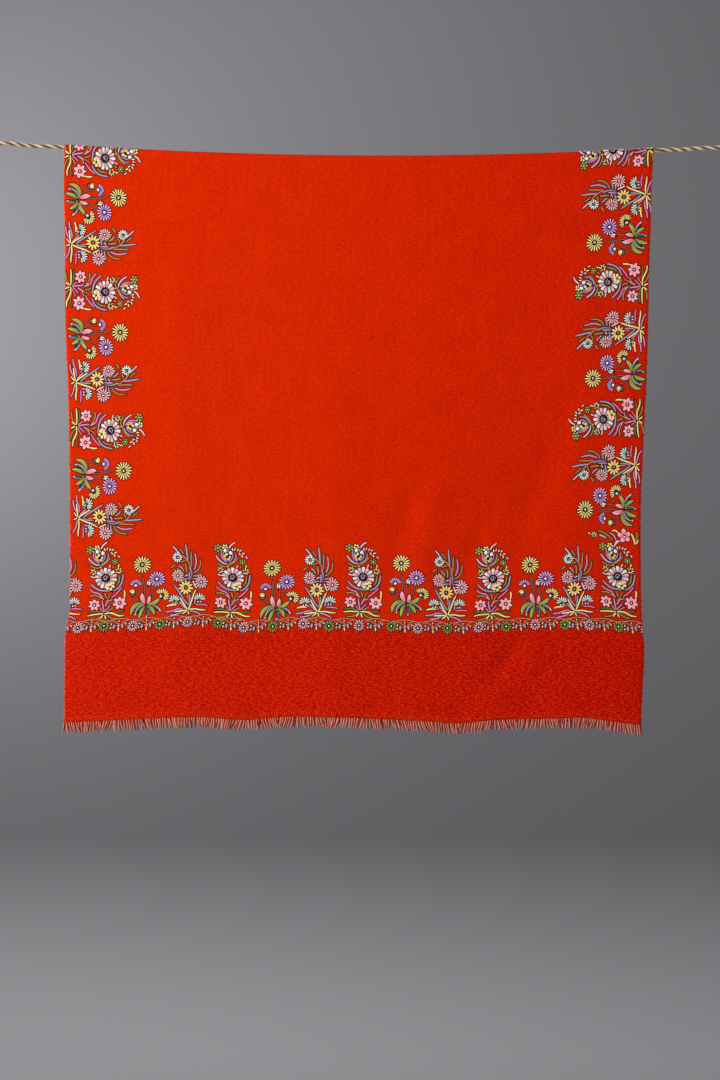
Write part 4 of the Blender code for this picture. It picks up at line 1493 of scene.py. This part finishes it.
def makeRope(finish, fibreFinish):
    rings = round(2 * line["reach"] / rope["layPitch"] * rope["ringsPerTurn"])
    path = ropePath(-line["reach"], line["reach"], rings + 1)
    mesh = joinMeshes([strandMesh(path, 0), strandMesh(path, math.pi)], "rope_strands")
    piece = showPiece("rope_strands", mesh, finish)
    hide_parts("rope")
    hairs = makeFibres("rope_fibres", path, rope["fibres"], fibreFinish, 31)
    for k, (word, side) in enumerate((("left", -1), ("right", 1))):
        tied, core = makeKnot("knot_tied_" + word, "knot_" + word, side, finish)
        ends = core[knot["tailFrom"]:]
        hair = makeFibres("tail_fibres_" + word, ends, rope["tailFibres"], fibreFinish, 41 + k, reach=0.003)
    return piece


# Wall eyes: the solids keep their shape and get their finish, and two screws each
screws = {"radius": 0.0030, "height": 0.0014, "apart": 0.0115, "plate": 0.003}


def makeScrews(name, side, finish):  # two domed heads on the plate's front
    height = lineHeight(side * line["eyeAt"])
    heads = []
    for up in (-1, 1):
        bm = bmesh.new()
        bmesh.ops.create_uvsphere(bm, u_segments=24, v_segments=12, radius=screws["radius"])
        bmesh.ops.scale(bm, vec=(1, 1, screws["height"] / screws["radius"]), verts=bm.verts[:])
        cut = cutOff(bm, (0, 0, 0.00002), (0, 0, -1))
        rim = [g for g in cut["geom_cut"] if isinstance(g, bmesh.types.BMEdge)]
        bmesh.ops.edgeloop_fill(bm, edges=rim)
        middle = (side * line["eyeAt"], line["wall"] - screws["plate"], height + up * screws["apart"])
        place = Matrix.Translation(middle) @ Matrix.Rotation(math.pi / 2, 4, "X")
        bmesh.ops.transform(bm, matrix=place, verts=bm.verts[:])
        bmesh.ops.recalc_face_normals(bm, faces=bm.faces[:])
        heads.append(meshFrom(bm, name))
    return showPiece(name, joinMeshes(heads, name), finish)


# Floor, backdrop and light
studio = {
    "floor": -2.864,
    "front": -6.0,
    "backdrop": 6.8,  # further back than a camera that looks at the shawl from behind
    "coveRadius": 0.915,
    "coveSteps": 12,
    "halfSpan": 5.0,
    "top": 4.0,
    "wallGrey": (117, 116, 119),
    "floorGrey": (176, 175, 178),
    "air": (0.9, 0.95, 1.0, 1),
    "airStrength": 0.28,
}
lights = {
    # name: place, aimed at, width, height, watts, colour
    "key": ((-2.5, -3.1, 0.6), (0.0, 0.0, -0.45), 1.7, 2.0, 140, (1.0, 0.985, 0.96)),
    "fill": ((2.6, -3.4, -0.3), (0.0, 0.0, -0.5), 2.2, 2.2, 16, (0.96, 0.98, 1.0)),
    "behind": ((0.9, 3.3, 2.1), (0.0, 0.0, -0.5), 1.8, 1.2, 70, (1.0, 0.985, 0.96)),
    "backdropWash": ((-0.5, 3.6, 2.1), (-0.3, 6.8, -1.1), 1.4, 0.9, 68, (1, 1, 1)),
    "backdropLeft": ((-2.198, 5.152, 0.319), (-1.924, 6.8, 0.319), 1.1, 1.46, 44, (1, 1, 1)),
    "backdropRight": ((2.192, 5.244, -0.102), (1.918, 6.8, -0.102), 1.1, 1.46, 2.5, (1, 1, 1)),
}


def makeStudio():
    bm = bmesh.new()
    start = bm.verts.new((-studio["halfSpan"], studio["front"], studio["floor"]))
    row = [start]
    for k in range(studio["coveSteps"] + 1):
        angle = math.pi / 2 * k / studio["coveSteps"]
        y = studio["backdrop"] - studio["coveRadius"] * (1 - math.sin(angle))
        z = studio["floor"] + studio["coveRadius"] * (1 - math.cos(angle))
        row.append(bm.verts.new((-studio["halfSpan"], y, z)))
    row.append(bm.verts.new((-studio["halfSpan"], studio["backdrop"], studio["top"])))
    edges = [bm.edges.new(pair) for pair in zip(row, row[1:])]
    made = bmesh.ops.extrude_edge_only(bm, edges=edges)
    moved = [g for g in made["geom"] if isinstance(g, bmesh.types.BMVert)]
    bmesh.ops.translate(bm, vec=(2 * studio["halfSpan"], 0, 0), verts=moved)
    bmesh.ops.recalc_face_normals(bm, faces=bm.faces[:])
    mesh = meshFrom(bm, "studio_sweep")
    mesh.shade_smooth()
    item = bpy.data.objects.new("studio_sweep", mesh)
    scene.collection.objects.link(item)
    made, tree, surface = newMaterial("studioPaint", 0.9)
    where = addNode(tree, "ShaderNodeTexCoord", (-900, 0))
    height = partsOf(tree, (-700, 0), where.outputs["Object"])["Z"]
    above = mathNode(tree, (-500, 0), "SUBTRACT", height, studio["floor"])
    share = mathNode(tree, (-300, 0), "DIVIDE", above, studio["coveRadius"], clamp=True)
    colour = mixColours(tree, (-100, 0), share, linear(studio["floorGrey"]), linear(studio["wallGrey"]))
    tree.links.new(colour, surface.inputs["Base Color"])
    mesh.materials.append(made)
    for name, (place, aim, width, height, watts, colour) in lights.items():
        data = bpy.data.lights.new(name, "AREA")
        data.shape = "RECTANGLE"
        data.size = width
        data.size_y = height
        data.energy = watts
        data.color = colour
        lamp = bpy.data.objects.new(name, data)
        lamp.location = place
        lamp.rotation_euler = (Vector(aim) - Vector(place)).to_track_quat("-Z", "Y").to_euler()
        scene.collection.objects.link(lamp)
    world = bpy.data.worlds.new("studioAir")
    world.use_nodes = True
    air = world.node_tree.nodes["Background"]
    air.inputs["Color"].default_value = studio["air"]
    air.inputs["Strength"].default_value = studio["airStrength"]
    scene.world = world


makeCamera()
print("camera placed")
groups = {
    "weave": makeWeaveGroup(),
    "threads": makeTwistGroup(),
    "slubs": makeSlubGroup(),
    "crepe": makeCrepeGroup(),
}
juteFinish = makeJuteFinish(groups)
fibreFinish = makeYarnFinish(groups, "juteFibre", juteLook["fibre"])
ropePiece = makeRope(juteFinish, fibreFinish)
print("rope laid and knotted")
steelFinish = makeSteelFinish()
for word, side in (("left", -1), ("right", 1)):
    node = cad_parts["eye_" + word]
    node.data.materials.clear()
    node.data.materials.append(steelFinish)
    makeScrews("screws_" + word, side, steelFinish)
print("wall eyes finished")
cloth = makeCloth(makeClothFinish(groups))
print("cloth hung")
threadFinish = makeThreadFinish(groups)
sewn = makeSewing(threadFinish)
print("flowers and vine sewn")
yarnFinish = makeYarnFinish(groups, "fringeYarn", fringe["light"], deep=fringe["deep"])
fringes = [
    makeFringe("fringe_yarns_front", "fringe_front", shawl["frontLength"], 1, yarnFinish, 11),
    makeFringe("fringe_yarns_back", "fringe_back", shawl["backLength"], -1, yarnFinish, 23),
]
print("fringe twisted")
fuzzFinish = makeYarnFinish(groups, "woolFuzz", fuzz["colour"])
edgeFuzz = makeFuzz("edge_fuzz", fuzzFinish, 5)
print("edges fluffed")
makeStudio()
print("studio lit")
